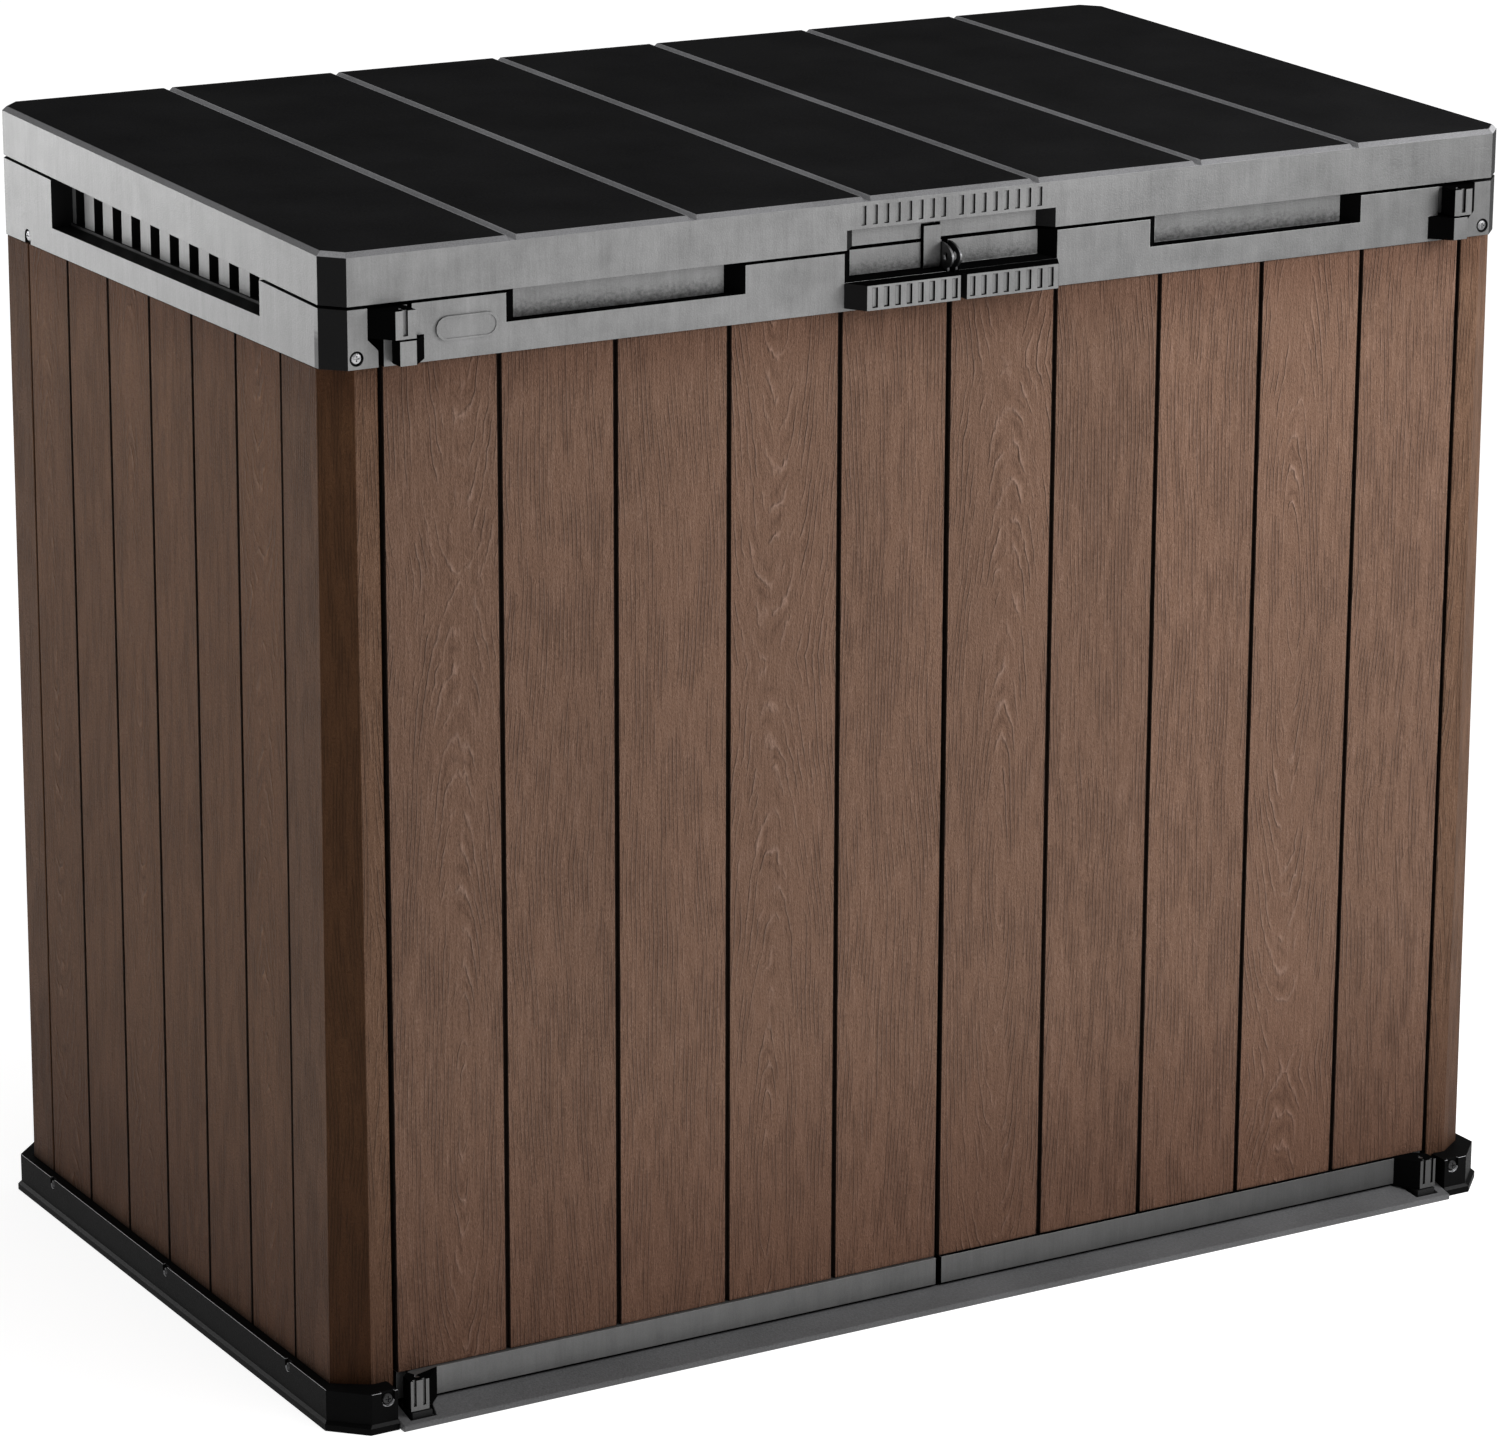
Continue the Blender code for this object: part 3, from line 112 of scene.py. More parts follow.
class Graph:
    """A material's node tree, with one short call for each kind of node."""

    def __init__(self, name):
        self.material = bpy.data.materials.new(name)
        self.material.use_nodes = True
        self.tree = self.material.node_tree
        self.shader = self.tree.nodes["Principled BSDF"]
        self.place = self.tree.nodes.new("ShaderNodeTexCoord").outputs["Object"]

    def add(self, kind, inputs=(), **settings):
        node = self.tree.nodes.new(kind)
        for key, value in settings.items():
            setattr(node, key, value)
        for key, value in inputs:
            self.feed(node.inputs[key], value)
        return node

    def feed(self, socket, value):
        if isinstance(value, bpy.types.NodeSocket):
            self.tree.links.new(value, socket)
        else:
            socket.default_value = value

    def math(self, operation, a, b=0.0, c=0.0, clamp=False):
        inputs = ((0, a), (1, b), (2, c))
        return self.add("ShaderNodeMath", inputs, operation=operation, use_clamp=clamp).outputs[0]

    def plus(self, a, b):
        return self.math("ADD", a, b)

    def minus(self, a, b):
        return self.math("SUBTRACT", a, b)

    def times(self, a, b):
        return self.math("MULTIPLY", a, b)

    def split(self, vector):
        node = self.add("ShaderNodeSeparateXYZ", ((0, vector),))
        return node.outputs[0], node.outputs[1], node.outputs[2]

    def join(self, x, y, z):
        return self.add("ShaderNodeCombineXYZ", ((0, x), (1, y), (2, z))).outputs[0]

    def noise(self, vector, scale=1.0, detail=2.0, roughness=0.5):
        inputs = (("Vector", vector), ("Scale", scale), ("Detail", detail), ("Roughness", roughness))
        return self.add("ShaderNodeTexNoise", inputs).outputs["Fac"]

    def streaks(self, across, up, third, wide, tall, detail=2.0, roughness=0.5):
        """Noise with its own number of features in a metre across and in a metre up."""
        where = self.join(self.times(across, wide), self.times(up, tall), third)
        return self.noise(where, detail=detail, roughness=roughness)

    def hashed(self, value):
        inputs = (("W", value),)
        return self.add("ShaderNodeTexWhiteNoise", inputs, noise_dimensions="1D").outputs["Value"]

    def remap(self, value, low, high, to_low=0.0, to_high=1.0, smooth=False):
        inputs = (
            ("Value", value), ("From Min", low), ("From Max", high), ("To Min", to_low), ("To Max", to_high),
        )
        kind = "SMOOTHSTEP" if smooth else "LINEAR"
        return self.add("ShaderNodeMapRange", inputs, interpolation_type=kind).outputs[0]

    def spread(self, noise, low, high):
        """Stretches the usual values of a noise to a range."""
        return self.remap(noise, NOISE_LOW, NOISE_HIGH, low, high)

    def blend(self, factor, a, b, kind="MIX"):
        node = self.add("ShaderNodeMix", data_type="RGBA", blend_type=kind)
        for socket, value in ((node.inputs[0], factor), (node.inputs[6], a), (node.inputs[7], b)):
            self.feed(socket, opaque(value))
        return node.outputs[2]

    def scaled(self, colour, factor):
        """The colour times a factor that varies over the surface."""
        grey = self.join(factor, factor, factor)
        return self.add("ShaderNodeVectorMath", ((0, colour), (1, grey)), operation="MULTIPLY").outputs[0]

    def bump(self, height, distance, strength=1.0):
        inputs = (("Height", height), ("Distance", distance), ("Strength", strength))
        return self.add("ShaderNodeBump", inputs).outputs[0]

    def surface(self, colour, roughness, normal=None, metallic=None, specular=None):
        for key, value in (
            ("Base Color", colour), ("Roughness", roughness), ("Normal", normal),
            ("Metallic", metallic), ("Specular IOR Level", specular),
        ):
            if value is not None:
                self.feed(self.shader.inputs[key], opaque(value))
        return self.material


# ---------------------------------------------------------------- wood grain
WOOD_BASE = (0.150, 0.086, 0.058)
WOOD_LIGHT = (0.275, 0.178, 0.136)
WOOD_DARK = (0.052, 0.026, 0.017)
SHADOW_CAST = (1.0, 0.68, 0.56)
RING_STEP = 0.0044        # distance between growth rings
RING_WAVES = 0.006        # how far they waver
HEART_SWAY = 0.045        # sideways sway of the rings' heart along a plank
HEART_SPREAD = 0.03       # and its spread from plank to plank
HEART_ASIDE = 0.16        # the heart lies this far beside a plank with straight grain
FLAMED = (0.0, 3.0)       # the planks with flames, in every five
FLAME_LENGTH = 0.55
FLAME_RISE = 0.115
GRAIN_RELIEF = 0.0021
FOOT_SHADE = (0.02, 0.36)           # heights between which the shade at the foot fades
HEAD_SHADE = (WALL_TOP - 0.07, WALL_TOP + 0.005)
FALL_START = 0.1          # height at which the painted fall of brightness ends


def growth_rings(g, local, z, number, seed, seed_two, shift):
    """Distance from the rings' heart, as a wave from 0 to 1. Some planks cut through the heart."""
    fifth = g.math("FLOORED_MODULO", number, 5.0)
    flame = g.math("MAXIMUM", *[g.math("COMPARE", fifth, which, 0.1) for which in FLAMED])
    sway = g.noise(g.join(g.plus(g.times(local, 5.0), shift), g.times(z, 2.6), shift))
    moved = g.plus(g.times(local, 60.0), shift)
    waves = g.noise(g.join(moved, g.times(z, 24.0), seed), roughness=0.6)
    heart = g.plus(local, g.times(g.minus(sway, 0.5), HEART_SWAY))
    spread = g.times(g.minus(seed_two, 0.5), HEART_SPREAD)
    sideways = g.plus(heart, g.plus(spread, g.times(g.minus(1.0, flame), HEART_ASIDE)))
    rising = g.times(g.math("PINGPONG", g.plus(z, seed), FLAME_LENGTH), FLAME_RISE)
    depth = g.plus(rising, g.times(g.minus(waves, 0.5), RING_WAVES))
    ring = g.math("SQRT", g.plus(g.times(sideways, sideways), g.times(depth, depth)))
    turned = g.times(ring, 2 * math.pi / RING_STEP)
    return g.plus(g.times(g.math("SINE", turned), 0.5), 0.5)


def corner_shade(g, colour, z):
    """Painted shade: darker and redder under the bands and above the floor."""
    foot = g.remap(z, *FOOT_SHADE, 1.0, 0.0, smooth=True)
    head = g.remap(z, *HEAD_SHADE, 0.0, 1.0, smooth=True)
    shadow = g.math("ADD", g.times(foot, 0.62), g.times(head, 0.5), clamp=True)
    colour = g.blend(shadow, colour, g.scaled(colour, 0.5))
    return g.blend(g.times(shadow, 0.45), colour, SHADOW_CAST, "MULTIPLY")


def wood(name, axis, start, pitch, salt, shade=1.0, cast=(1.0, 1.0, 1.0), low=1.0):
    """Brown planks with moulded grain and painted shade. The axis says how the distance across them is read,
    the salt varies their grain, and low is the painted brightness at their foot."""
    g = Graph(name)
    x, y, z = g.split(g.place)
    if axis == "X":
        across = x
    elif axis == "Y":
        across = y
    else:
        across = g.minus(g.math("ABSOLUTE", x), g.math("ABSOLUTE", y))
    counted = g.math("DIVIDE", g.minus(across, start), pitch)
    number = g.math("FLOOR", counted)
    local = g.times(g.minus(g.minus(counted, number), 0.5), pitch)
    seed = g.hashed(g.plus(number, salt))
    seed_two = g.hashed(g.plus(number, salt + 37.3))
    shift = g.times(seed, 40.0)

    rings = growth_rings(g, local, z, number, seed, seed_two, shift)
    fibre = g.streaks(across, z, shift, 420.0, 26.0, detail=3.0, roughness=0.7)
    strand = g.streaks(across, z, shift, 150.0, 3.0)
    speck = g.streaks(across, z, shift, 560.0, 300.0, roughness=0.65)
    patch = g.streaks(across, z, seed, 70.0, 12.0, roughness=0.6)
    broken = g.remap(patch, 0.42, 0.62)
    ridge = g.times(g.math("POWER", rings, 9.0), broken)
    valley = g.times(g.math("POWER", g.minus(1.0, rings), 6.0), broken)

    relief = g.plus(g.times(ridge, 1.3), g.plus(g.times(fibre, 0.55), g.times(strand, 0.35)))
    height = g.plus(relief, g.times(speck, 0.95))
    bright = g.plus(g.remap(fibre, 0.52, 0.80, 0.0, 0.42), g.remap(speck, 0.55, 0.80, 0.0, 0.42))
    dim = g.plus(g.remap(fibre, 0.48, 0.24, 0.0, 0.44), g.remap(speck, 0.45, 0.22, 0.0, 0.42))
    light = g.math("ADD", g.times(ridge, 0.60), bright, clamp=True)
    dark = g.math("ADD", g.times(valley, 0.38), dim, clamp=True)
    colour = g.blend(light, WOOD_BASE, WOOD_LIGHT)
    colour = g.blend(dark, colour, WOOD_DARK)

    tint = g.plus(0.94, g.plus(g.times(seed_two, 0.08), g.times(strand, 0.10)))
    cloud = g.remap(g.streaks(across, z, shift, 7.0, 1.4), 0.35, 0.65, 0.94, 1.05)
    colour = g.scaled(colour, g.times(g.times(tint, cloud), shade))
    colour = corner_shade(g, colour, z)
    colour = g.blend(1.0, colour, cast, "MULTIPLY")
    # painted shade: darker towards the foot, down to the brightness low
    colour = g.scaled(colour, g.remap(z, FALL_START, WALL_TOP, low, 1.0))
    rough = g.remap(fibre, 0.2, 0.8, 0.60, 0.78)
    return g.surface(colour, rough, g.bump(height, GRAIN_RELIEF), specular=0.08)


# ---------------------------------------------------------------- grey bands, black plastic, steel
ROUND_CORNERS = 1.31      # the streaks go on round the corners with this share of the depth
# where the painted shade in the recesses lies
RECESS_FRONT = FACE + 0.008
RECESS_BACK = FACE + 0.030
MOTTLE_FOOT = SILL + 0.008
MOTTLE_HEAD = SILL + 0.034


def recess_shade(g, x, y, z):
    """Painted shade in the recesses: the share of light left there, mottled and dark towards their floor."""
    inside = g.remap(y, RECESS_FRONT, RECESS_FRONT + 0.004)
    front = g.remap(y, RECESS_BACK, RECESS_BACK - 0.002)
    mottle = g.streaks(x, z, 0.3, 220.0, 260.0, detail=3.0, roughness=0.65)
    edge = g.plus(z, g.times(mottle, 0.028))
    low = g.remap(edge, MOTTLE_HEAD, MOTTLE_FOOT, smooth=True)
    hidden = g.times(g.times(inside, front), g.plus(0.05, g.times(low, 0.78)))
    return g.minus(1.0, hidden)


def general_shade(g, x, y):
    """Painted shade: darker towards the right, and towards the front of the side faces."""
    left_half = g.remap(x, -HALF_W, 0.0, 1.06, 0.82)
    right_half = g.remap(x, 0.0, HALF_W, 1.0, 0.52)
    on_side = g.remap(g.math("ABSOLUTE", x), HALF_W - 0.030, HALF_W - 0.025)
    behind = g.remap(y, FACE + 0.010, FACE + 0.014)
    fall = g.remap(y, FACE, BACK_FACE, 0.24, 0.06)
    side = g.minus(1.0, g.times(g.times(on_side, behind), fall))
    return g.times(g.times(left_half, right_half), side)


def galvanised(name, tone, recess=True):
    """Light grey skin with soft streaks and a fine grain, under painted shade towards the right, on the
    sides' fronts and, unless recess is false, in the recesses.
    """
    g = Graph(name)
    x, y, z = g.split(g.place)
    run = g.plus(x, g.times(y, ROUND_CORNERS))
    blotch = g.streaks(run, z, y, 24.0, 30.0, detail=4.0, roughness=0.6)
    streak = g.streaks(run, z, 2.7, 70.0, 11.0, detail=3.0, roughness=0.6)
    hair = g.streaks(run, z, 5.1, 330.0, 22.0, roughness=0.6)
    grain = g.noise(g.place, 620.0, roughness=0.6)
    soft = g.plus(g.spread(blotch, -0.11, 0.11), g.spread(streak, -0.075, 0.06))
    fine = g.plus(g.spread(hair, -0.045, 0.045), g.spread(grain, -0.06, 0.06))
    factor = g.plus(1.0, g.plus(soft, fine))
    if recess:
        factor = g.times(factor, recess_shade(g, x, y, z))
    factor = g.times(factor, general_shade(g, x, y))
    colour = g.scaled((tone, tone, tone), factor)
    height = g.plus(g.times(grain, 0.7), g.times(hair, 0.3))
    rough = g.spread(blotch, 0.38, 0.48)
    return g.surface(colour, rough, g.bump(height, 0.0005, 0.6), metallic=0.6, specular=0.5)


def black_plastic(name, tone, texture=700.0, rough=0.5, specular=0.0, relief=0.0004):
    """Moulded plastic, black or grey, with a fine, even texture."""
    g = Graph(name)
    grain = g.noise(g.place, texture, detail=3.0, roughness=0.6)
    cloud = g.noise(g.place, 9.0)
    factor = g.plus(g.spread(grain, 0.8, 1.2), g.spread(cloud, -0.12, 0.12))
    colour = g.scaled((tone, tone, tone * 1.03), factor)
    gloss = g.spread(grain, rough - 0.06, rough + 0.06)
    return g.surface(colour, gloss, g.bump(grain, relief, 0.6), specular=specular)


def steel_finish(name, tone, rough):
    """Steel with faint clouds."""
    g = Graph(name)
    cloud = g.noise(g.place, 160.0, detail=3.0, roughness=0.6)
    colour = g.scaled((tone, tone, tone * 1.02), g.spread(cloud, 0.8, 1.15))
    gloss = g.spread(cloud, rough - 0.08, rough + 0.1)
    return g.surface(colour, gloss, g.bump(cloud, 0.0002, 0.3), metallic=1.0)


WOOD_DOOR = wood("wood_doors", "X", -DOOR_EDGE, DOOR_PITCH, salt=3.0, shade=1.06)
WOOD_BACK = wood("wood_back", "X", -BACK_EDGE, BACK_PITCH, salt=71.0)
# the sides' own copy of the wood, with a redder cast and strong painted shade towards the foot
WOOD_SIDE = wood(
    "wood_sides", "Y", SIDE_START, SIDE_PITCH, salt=19.0, shade=1.04, cast=(1.02, 0.93, 0.80), low=0.72,
)
WOOD_POST = wood(
    "wood_posts", "corner", CORNER_START, DOOR_PITCH, salt=51.0, shade=0.92,
    cast=(1.0, 0.96, 0.88), low=0.84,
)
# painted shade: a darker, redder copy of the post wood for the left cut corners; the right ones keep the
# post wood
WOOD_SHADED_CHAMFER = wood(
    "wood_chamfer_painted_shade", "corner", CORNER_START, DOOR_PITCH, salt=83.0, shade=0.46,
    cast=(1.08, 0.84, 0.55), low=0.86,
)
# painted shade: the wood a tenth as bright in the grooves and seams between planks
WOOD_GROOVE_SHADE = wood("wood_groove_painted_shade", "corner", CORNER_START, DOOR_PITCH, salt=91.0, shade=0.10)
BAND = galvanised("grey_skin", 0.235)
RAIL = galvanised("grey_rail", 0.12, recess=False)
EDGE = galvanised("grey_edge", 0.085, recess=False)
BODY_BLACK = black_plastic("black_body", 0.008, rough=0.6, specular=0.08)
# painted shade: near black on the grey parts' faces that lie in shade, such as recess walls, rib outlines
# and the sides of rails and tabs
SHADE_BLACK = black_plastic("painted_shade_black", 0.0022, rough=0.7)
CHANNEL = black_plastic("lid_channel", 0.36, rough=0.6, specular=0.1)
LID_EDGE = black_plastic("lid_edge", 0.20, specular=0.2)
PLANK = black_plastic("black_plank", 0.0165, texture=500.0, rough=0.65, relief=0.0002)
TRAY = black_plastic("black_tray", 0.0026, texture=650.0, rough=0.55, specular=0.03)
# painted highlights: light grey along the rim's outer edge, and a lighter black along the bead
TRAY_RIM_HIGHLIGHT = black_plastic("tray_rim_painted_highlight", 0.42, texture=650.0, rough=0.4, specular=0.5)
TRAY_BEAD_HIGHLIGHT = black_plastic("tray_bead_painted_highlight", 0.010, texture=650.0, specular=0.1)
RAMP = black_plastic("black_ramp", 0.085, texture=420.0, specular=0.3, relief=0.0006)
TRIM = black_plastic("black_trim", 0.008, specular=0.2)
STEEL = steel_finish("zinc_steel", 0.42, 0.35)
DARK_STEEL = steel_finish("dark_steel", 0.16, 0.38)
# one screw in two tones, lighter on the left and darker on the right: painted light and shade
FRAME_SCREW = {
    "left": steel_finish("screw_left_painted_light", 0.50, 0.45),
    "right": steel_finish("screw_right_painted_shade", 0.20, 0.5),
}
TRAY_SCREW = steel_finish("tray_screw", 0.05, 0.5)


# ---------------------------------------------------------------- rounded skins
MERGE = 0.00001
FLAT_ANGLE = math.radians(0.6)      # faces closer in angle than this are one face
SHARP_ANGLE = 24.0                  # edges over this many degrees are rounded
FLAT_AREA = 0.001                   # larger faces are plane and stay flat
TOP_SHELL = 0.0003
ROUNDING_STEPS = 2
FACE_WEIGHT = 80


def top_edges(shape, level):
    """The edges in the topmost plane across the level axis."""
    if level is None:
        return set()
    top = max(level.dot(v.co) for v in shape.verts) - TOP_SHELL
    return {e for e in shape.edges if min(level.dot(v.co) for v in e.verts) > top}


def skin(node, width, finishes, rule=None, angle=SHARP_ANGLE, level=None):
    """A rounded-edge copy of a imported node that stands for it. The rule picks a finish for each face.
    The edges in the topmost plane across the level axis stay as they are."""
    shape = bmesh.new()
    shape.from_mesh(frame["nodes"][node].data)
    bmesh.ops.remove_doubles(shape, verts=shape.verts, dist=MERGE)
    kept = top_edges(shape, level)
    loose = [e for e in shape.edges if e not in kept]
    bmesh.ops.dissolve_limit(shape, angle_limit=FLAT_ANGLE, verts=[], edges=loose)
    kept = top_edges(shape, level)
    joining = [e for e in shape.edges if len(e.link_faces) == 2 and e not in kept]
    sharp = [e for e in joining if e.calc_face_angle(0) > math.radians(angle)]
    bmesh.ops.bevel(
        shape, geom=sharp, offset=width, offset_type="OFFSET", segments=ROUNDING_STEPS,
        profile=0.5, affect="EDGES", clamp_overlap=True, loop_slide=True,
    )
    shape.normal_update()
    for face in shape.faces:
        face.smooth = face.calc_area() < FLAT_AREA
        if rule:
            face.material_index = rule(face.normal, face.calc_center_median())
    mesh = bpy.data.meshes.new(f"{node}_skin")
    shape.to_mesh(mesh)
    shape.free()
    for finish in finishes:
        mesh.materials.append(finish)
    piece = bpy.data.objects.new(f"{node}_skin", mesh)
    bpy.context.scene.collection.objects.link(piece)
    weighted = piece.modifiers.new("even_shading", "WEIGHTED_NORMAL")
    weighted.keep_sharp = True
    weighted.weight = FACE_WEIGHT
    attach(piece, BODY_OF[node])
    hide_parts(node)


def refinish(node, finish):
    """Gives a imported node, shown as it is, another finish."""
    frame["nodes"][node].data.materials[0] = finish


# ---------------------------------------------------------------- which finish a face gets
GREY, BLACK, GREY_EDGE, IN_CHANNEL, ON_BEVEL, IN_RIB = range(6)
FACING = 0.86             # share of a normal along an axis, for a face that looks that way
SLOPE_LOW = 0.25          # upward share of the normal of a sloping face
SLOPE_HIGH = 0.9
RIB_FACING = 0.97
OUTERMOST = 0.002         # faces this close to the outside count as outer faces


def band_rule(normal, centre):
    """Grey skin on the outer faces and the vents' back walls, black inside, darker grey on edges."""
    across = abs(centre.x)
    outer_side = across > HALF_W - OUTERMOST
    outer_front = centre.y < FACE + OUTERMOST
    outer_back = centre.y > BACK_FACE - OUTERMOST
    vent_back = abs(across - (HALF_W - VENT_DEPTH)) < 0.0006
    vent_lip = abs(across - (HALF_W - VENT_DEPTH + VENT_LIP)) < 0.0012
    if SLOPE_LOW < normal.z < SLOPE_HIGH:
        return GREY_EDGE if outer_side or outer_front or outer_back else BLACK
    if vent_lip and centre.z < VENT_LIP_TOP:
        return GREY_EDGE
    if abs(normal.x) > FACING:
        return GREY if outer_side or vent_back else BLACK
    if normal.y < -FACING:
        return GREY if outer_front else BLACK
    if normal.y > FACING:
        return GREY if outer_back else BLACK
    return BLACK


def lid_rule(normal, centre):
    """As the bands, with a grey back wall in the bay, the lid's own finishes in the channels between the
    planks and on the bevels over the ribs, and painted shade round the ribs."""
    if normal.z < -0.3:
        return BLACK
    inner = abs(centre.x) < HALF_W - 0.006
    over_ribs = RIBS_LOW < centre.z < RIBS_HIGH and abs(centre.x) < RIBS_HALF
    if over_ribs and centre.y < FACE + RIB_SHELL and normal.y > -RIB_FACING:
        return IN_RIB
    if normal.z > SLOPE_HIGH and inner:
        return IN_CHANNEL
    if normal.y < -FACING and abs(centre.x) < BAY_HALF:
        return GREY
    sloping = SLOPE_LOW < normal.z <= SLOPE_HIGH
    if sloping and abs(normal.x) > 0.3 and inner and centre.z > LID_FOOT + 0.04:
        return IN_CHANNEL if centre.y > FACE + 0.006 else BLACK
    if sloping and centre.z > RIBS_HIGH:
        return ON_BEVEL
    return band_rule(normal, centre)


def front_rule(normal, _centre):
    """The first finish on faces that look to the front, the second elsewhere."""
    return 0 if normal.y < -FACING else 1


def handle_rule(normal, centre):
    """The first finish in front, the second, painted shade, on ribs and top, the third on the ends."""
    within_ribs = centre.y < HANDLE_FACE + RIB_SHELL
    if abs(normal.x) > 0.5 and centre.y > HANDLE_FACE + RIB_SHELL:
        return 2
    beside_rib = within_ribs and normal.y > -RIB_FACING
    return 1 if beside_rib or normal.y > -FACING else 0


def plank_rule(across, start, pitch):
    """The first finish on the planks' own faces, the second, painted shade, in the grooves and seams between
    them.
    """
    groove_half = 0.0035

    def rule(normal, centre):
        if abs(normal[across]) > 0.7:
            return 1
        counted = (centre[across] - start) / pitch
        aside = abs(counted - round(counted)) * pitch
        return 1 if aside < groove_half and abs(normal.z) < 0.5 else 0

    return rule


def foot_rule(normal, centre):
    """The first finish on the front and on the rail's top edge, the second elsewhere."""
    return 0 if normal.y < -FACING or normal.z > 0.3 and centre.y > FACE else 1


def tray_rule(normal, centre):
    """The second finish, a painted highlight, along the rim's outer edge, the third, a fainter painted
    highlight, along the bead, the first elsewhere.
    """
    margin = 0.006
    outside = abs(centre.x) > tray_high[0] - margin or abs(centre.y) > -tray_low[1] - margin
    if not outside or not 0.3 < normal.z < 0.95:
        return 0
    return 1 if centre.z > tray_high[2] / 2 else 2


def post_rule(normal, centre):
    """The first finish on the flat faces, the second towards the seams, the third on the cut corner. The
    second and, on the left, the third are painted shade.
    """
    if abs(normal.x) > 0.35 and abs(normal.y) > 0.35:
        return 2
    outer = abs(centre.x) > wall_high[0] - 0.008 or abs(centre.y) > -panel_low[1] - 0.003
    return 0 if outer or abs(normal.z) > 0.5 else 1


# ---------------------------------------------------------------- pieces
HINGE_ANGLE = 40.0        # leaves the faceted barrels of the lid's hinges unrounded
GREY_SET = (BAND, BODY_BLACK, EDGE)
LID_SET = (BAND, BODY_BLACK, EDGE, CHANNEL, LID_EDGE, SHADE_BLACK)


def cabinet(side):
    """Walls, posts, frame and hinge blocks of one side."""
    # the left cut corner gets painted shade
    cut_corner = WOOD_SHADED_CHAMFER if side == "left" else WOOD_POST
    post_set = (WOOD_POST, WOOD_GROOVE_SHADE, cut_corner)
    skin(f"top_frame_{side}", 0.0008, GREY_SET, band_rule)
    skin(f"corner_hinge_{side}", 0.0005, (BAND, SHADE_BLACK), front_rule)
    skin(f"side_wall_{side}", 0.0008, (WOOD_SIDE, WOOD_GROOVE_SHADE), plank_rule(1, SIDE_START, SIDE_PITCH))
    skin(f"front_post_{side}", 0.0009, post_set, post_rule)
    skin(f"rear_post_{side}", 0.0009, post_set, post_rule)
    skin(f"back_panel_{side}", 0.0008, (WOOD_BACK, WOOD_GROOVE_SHADE), plank_rule(0, -BACK_EDGE, BACK_PITCH))
    skin(f"hinge_support_{side}", 0.0006, (TRIM,))
    skin(f"lid_hinge_base_{side}", 0.0005, (TRIM,), angle=HINGE_ANGLE)
    skin(f"lid_hinge_leaf_{side}", 0.0005, (TRIM,), angle=HINGE_ANGLE)


def door(side):
    """Panel, rails, handle and padlock eye of one door."""
    skin(f"door_panel_{side}", 0.0008, (WOOD_DOOR, WOOD_GROOVE_SHADE), plank_rule(0, -DOOR_EDGE, DOOR_PITCH))
    skin(f"door_top_rail_{side}", 0.0008, (BAND, SHADE_BLACK), front_rule)
    skin(f"door_foot_rail_{side}", 0.0007, (RAIL, SHADE_BLACK), foot_rule)
    skin(f"door_handle_{side}", 0.0006, (BAND, SHADE_BLACK, BODY_BLACK), handle_rule)
    skin(f"padlock_eye_{side}", 0.0003, (DARK_STEEL,))


def fasteners(side):
    """Screws and hinge pins of one side."""
    for name in ("frame_screw_front", "frame_screw_side"):
        refinish(f"{name}_{side}", FRAME_SCREW[side])
    for name in (f"tray_screw_front_{side}", *[f"tray_screw_{side}_{number}" for number in (1, 2, 3)]):
        refinish(name, TRAY_SCREW)
    for name in ("lid_hinge_pin", "door_pin_top", "door_pin_foot"):
        refinish(f"{name}_{side}", STEEL)


for side in SIDES:
    cabinet(side)
    door(side)
    fasteners(side)
skin("top_frame_back", 0.0008, GREY_SET, band_rule)
skin("floor_tray", 0.0010, (TRAY, TRAY_RIM_HIGHLIGHT, TRAY_BEAD_HIGHLIGHT), tray_rule)
skin("door_ramp", 0.0010, (RAMP,))
skin("lid_shell", 0.0007, LID_SET, lid_rule, level=LID_AXIS)
for number in range(1, LID_PLANKS + 1):
    skin(f"lid_plank_{number}", 0.0006, (PLANK,))
skin("latch_tab", 0.0006, (BAND, SHADE_BLACK), front_rule)
skin("badge", 0.0004, (BAND, EDGE), front_rule)
refinish("latch_pin", STEEL)


# ---------------------------------------------------------------- studio
WHITE = (1.0, 1.0, 1.0, 1.0)
FLOOR_REACH = 300.0
FLOOR_GLOW = 0.85
AIR_GLOW = 0.22
SUN_POWER = 0.9
SUN_WIDTH = math.radians(50)
SUN_WAY = (-0.25, 0.35, -0.9)
LENS = 134.45
SENSOR = 36.0
SIGHT = 200.0
CAMERA_PLACE = (-2.9491, -5.0467, 2.2335)
CAMERA_TURN = (1.288069, -0.003120, -0.527789)


def aimed(way):
    """Turns a light so that it shines along a direction."""
    return Vector(way).to_track_quat("-Z", "Y").to_euler()


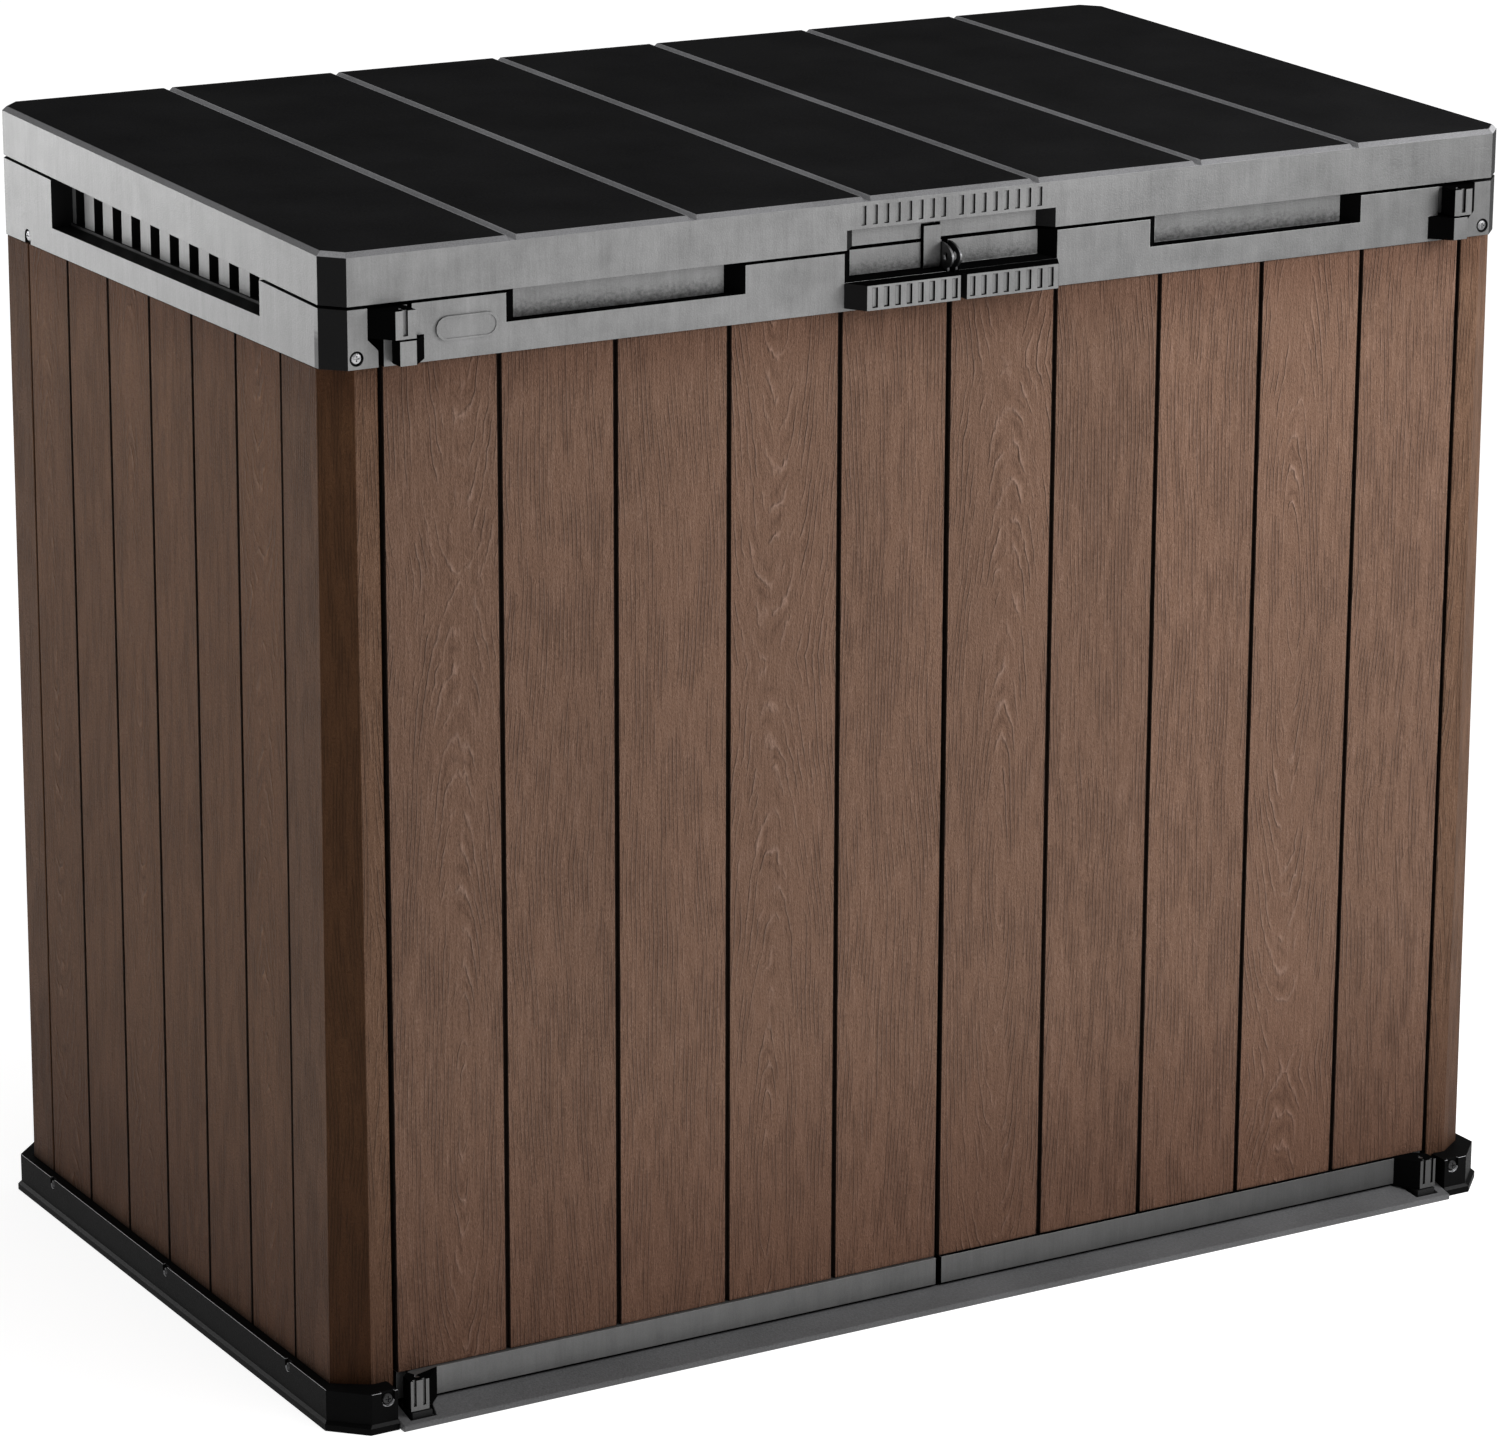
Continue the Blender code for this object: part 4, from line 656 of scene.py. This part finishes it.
def pale_floor(scene):
    corners = [(x * FLOOR_REACH, y * FLOOR_REACH, 0) for x, y in ((-1, -1), (1, -1), (1, 1), (-1, 1))]
    mesh = bpy.data.meshes.new("floor")
    mesh.from_pydata(corners, [], [(0, 1, 2, 3)])
    floor = bpy.data.objects.new("floor", mesh)
    scene.collection.objects.link(floor)
    g = Graph("pale_floor")
    shade = g.spread(g.noise(g.place, 0.8), 0.985, 1.0)
    mesh.materials.append(g.surface(g.scaled((0.5, 0.5, 0.5), shade), 0.9, specular=0.0))
    g.shader.inputs["Emission Color"].default_value = WHITE
    g.shader.inputs["Emission Strength"].default_value = FLOOR_GLOW


def panel_light(scene, name, place, aim, size, power):
    light = bpy.data.lights.new(name, "AREA")
    light.shape = "RECTANGLE"
    light.size, light.size_y = size
    light.energy = power
    lamp = bpy.data.objects.new(name, light)
    lamp.location = place
    lamp.rotation_euler = aimed(Vector(aim) - Vector(place))
    lamp.visible_camera = False
    scene.collection.objects.link(lamp)
    return lamp


def sunlight(scene):
    sun = bpy.data.lights.new("sun", "SUN")
    sun.energy = SUN_POWER
    sun.angle = SUN_WIDTH
    lamp = bpy.data.objects.new("sun", sun)
    lamp.rotation_euler = aimed(SUN_WAY)
    scene.collection.objects.link(lamp)


def studio(scene):
    """Pale floor, light from all around, a key light on the right, a card behind on the left, a wide sun."""
    scene.view_settings.view_transform = "Standard"
    pale_floor(scene)
    scene.world = bpy.data.worlds.new("studio")
    scene.world.use_nodes = True
    air = scene.world.node_tree.nodes["Background"]
    air.inputs["Color"].default_value = WHITE
    air.inputs["Strength"].default_value = AIR_GLOW
    panel_light(scene, "key", (1.5, -1.65, 1.65), aim=(0.45, -0.4, 0.8), size=(0.9, 0.9), power=36.0)
    card = panel_light(
        scene, "card_left", (-2.6, 3.6, 1.2), aim=(-0.7, 0.0, 1.0), size=(3.0, 2.0), power=50.0,
    )
    card.visible_diffuse = False
    sunlight(scene)


def camera(scene):
    data = bpy.data.cameras.new("camera")
    data.sensor_width = SENSOR
    data.lens = LENS
    data.clip_end = SIGHT
    scene.camera = bpy.data.objects.new("camera", data)
    scene.camera.location = CAMERA_PLACE
    scene.camera.rotation_euler = CAMERA_TURN
    scene.collection.objects.link(scene.camera)


studio(bpy.context.scene)
camera(bpy.context.scene)
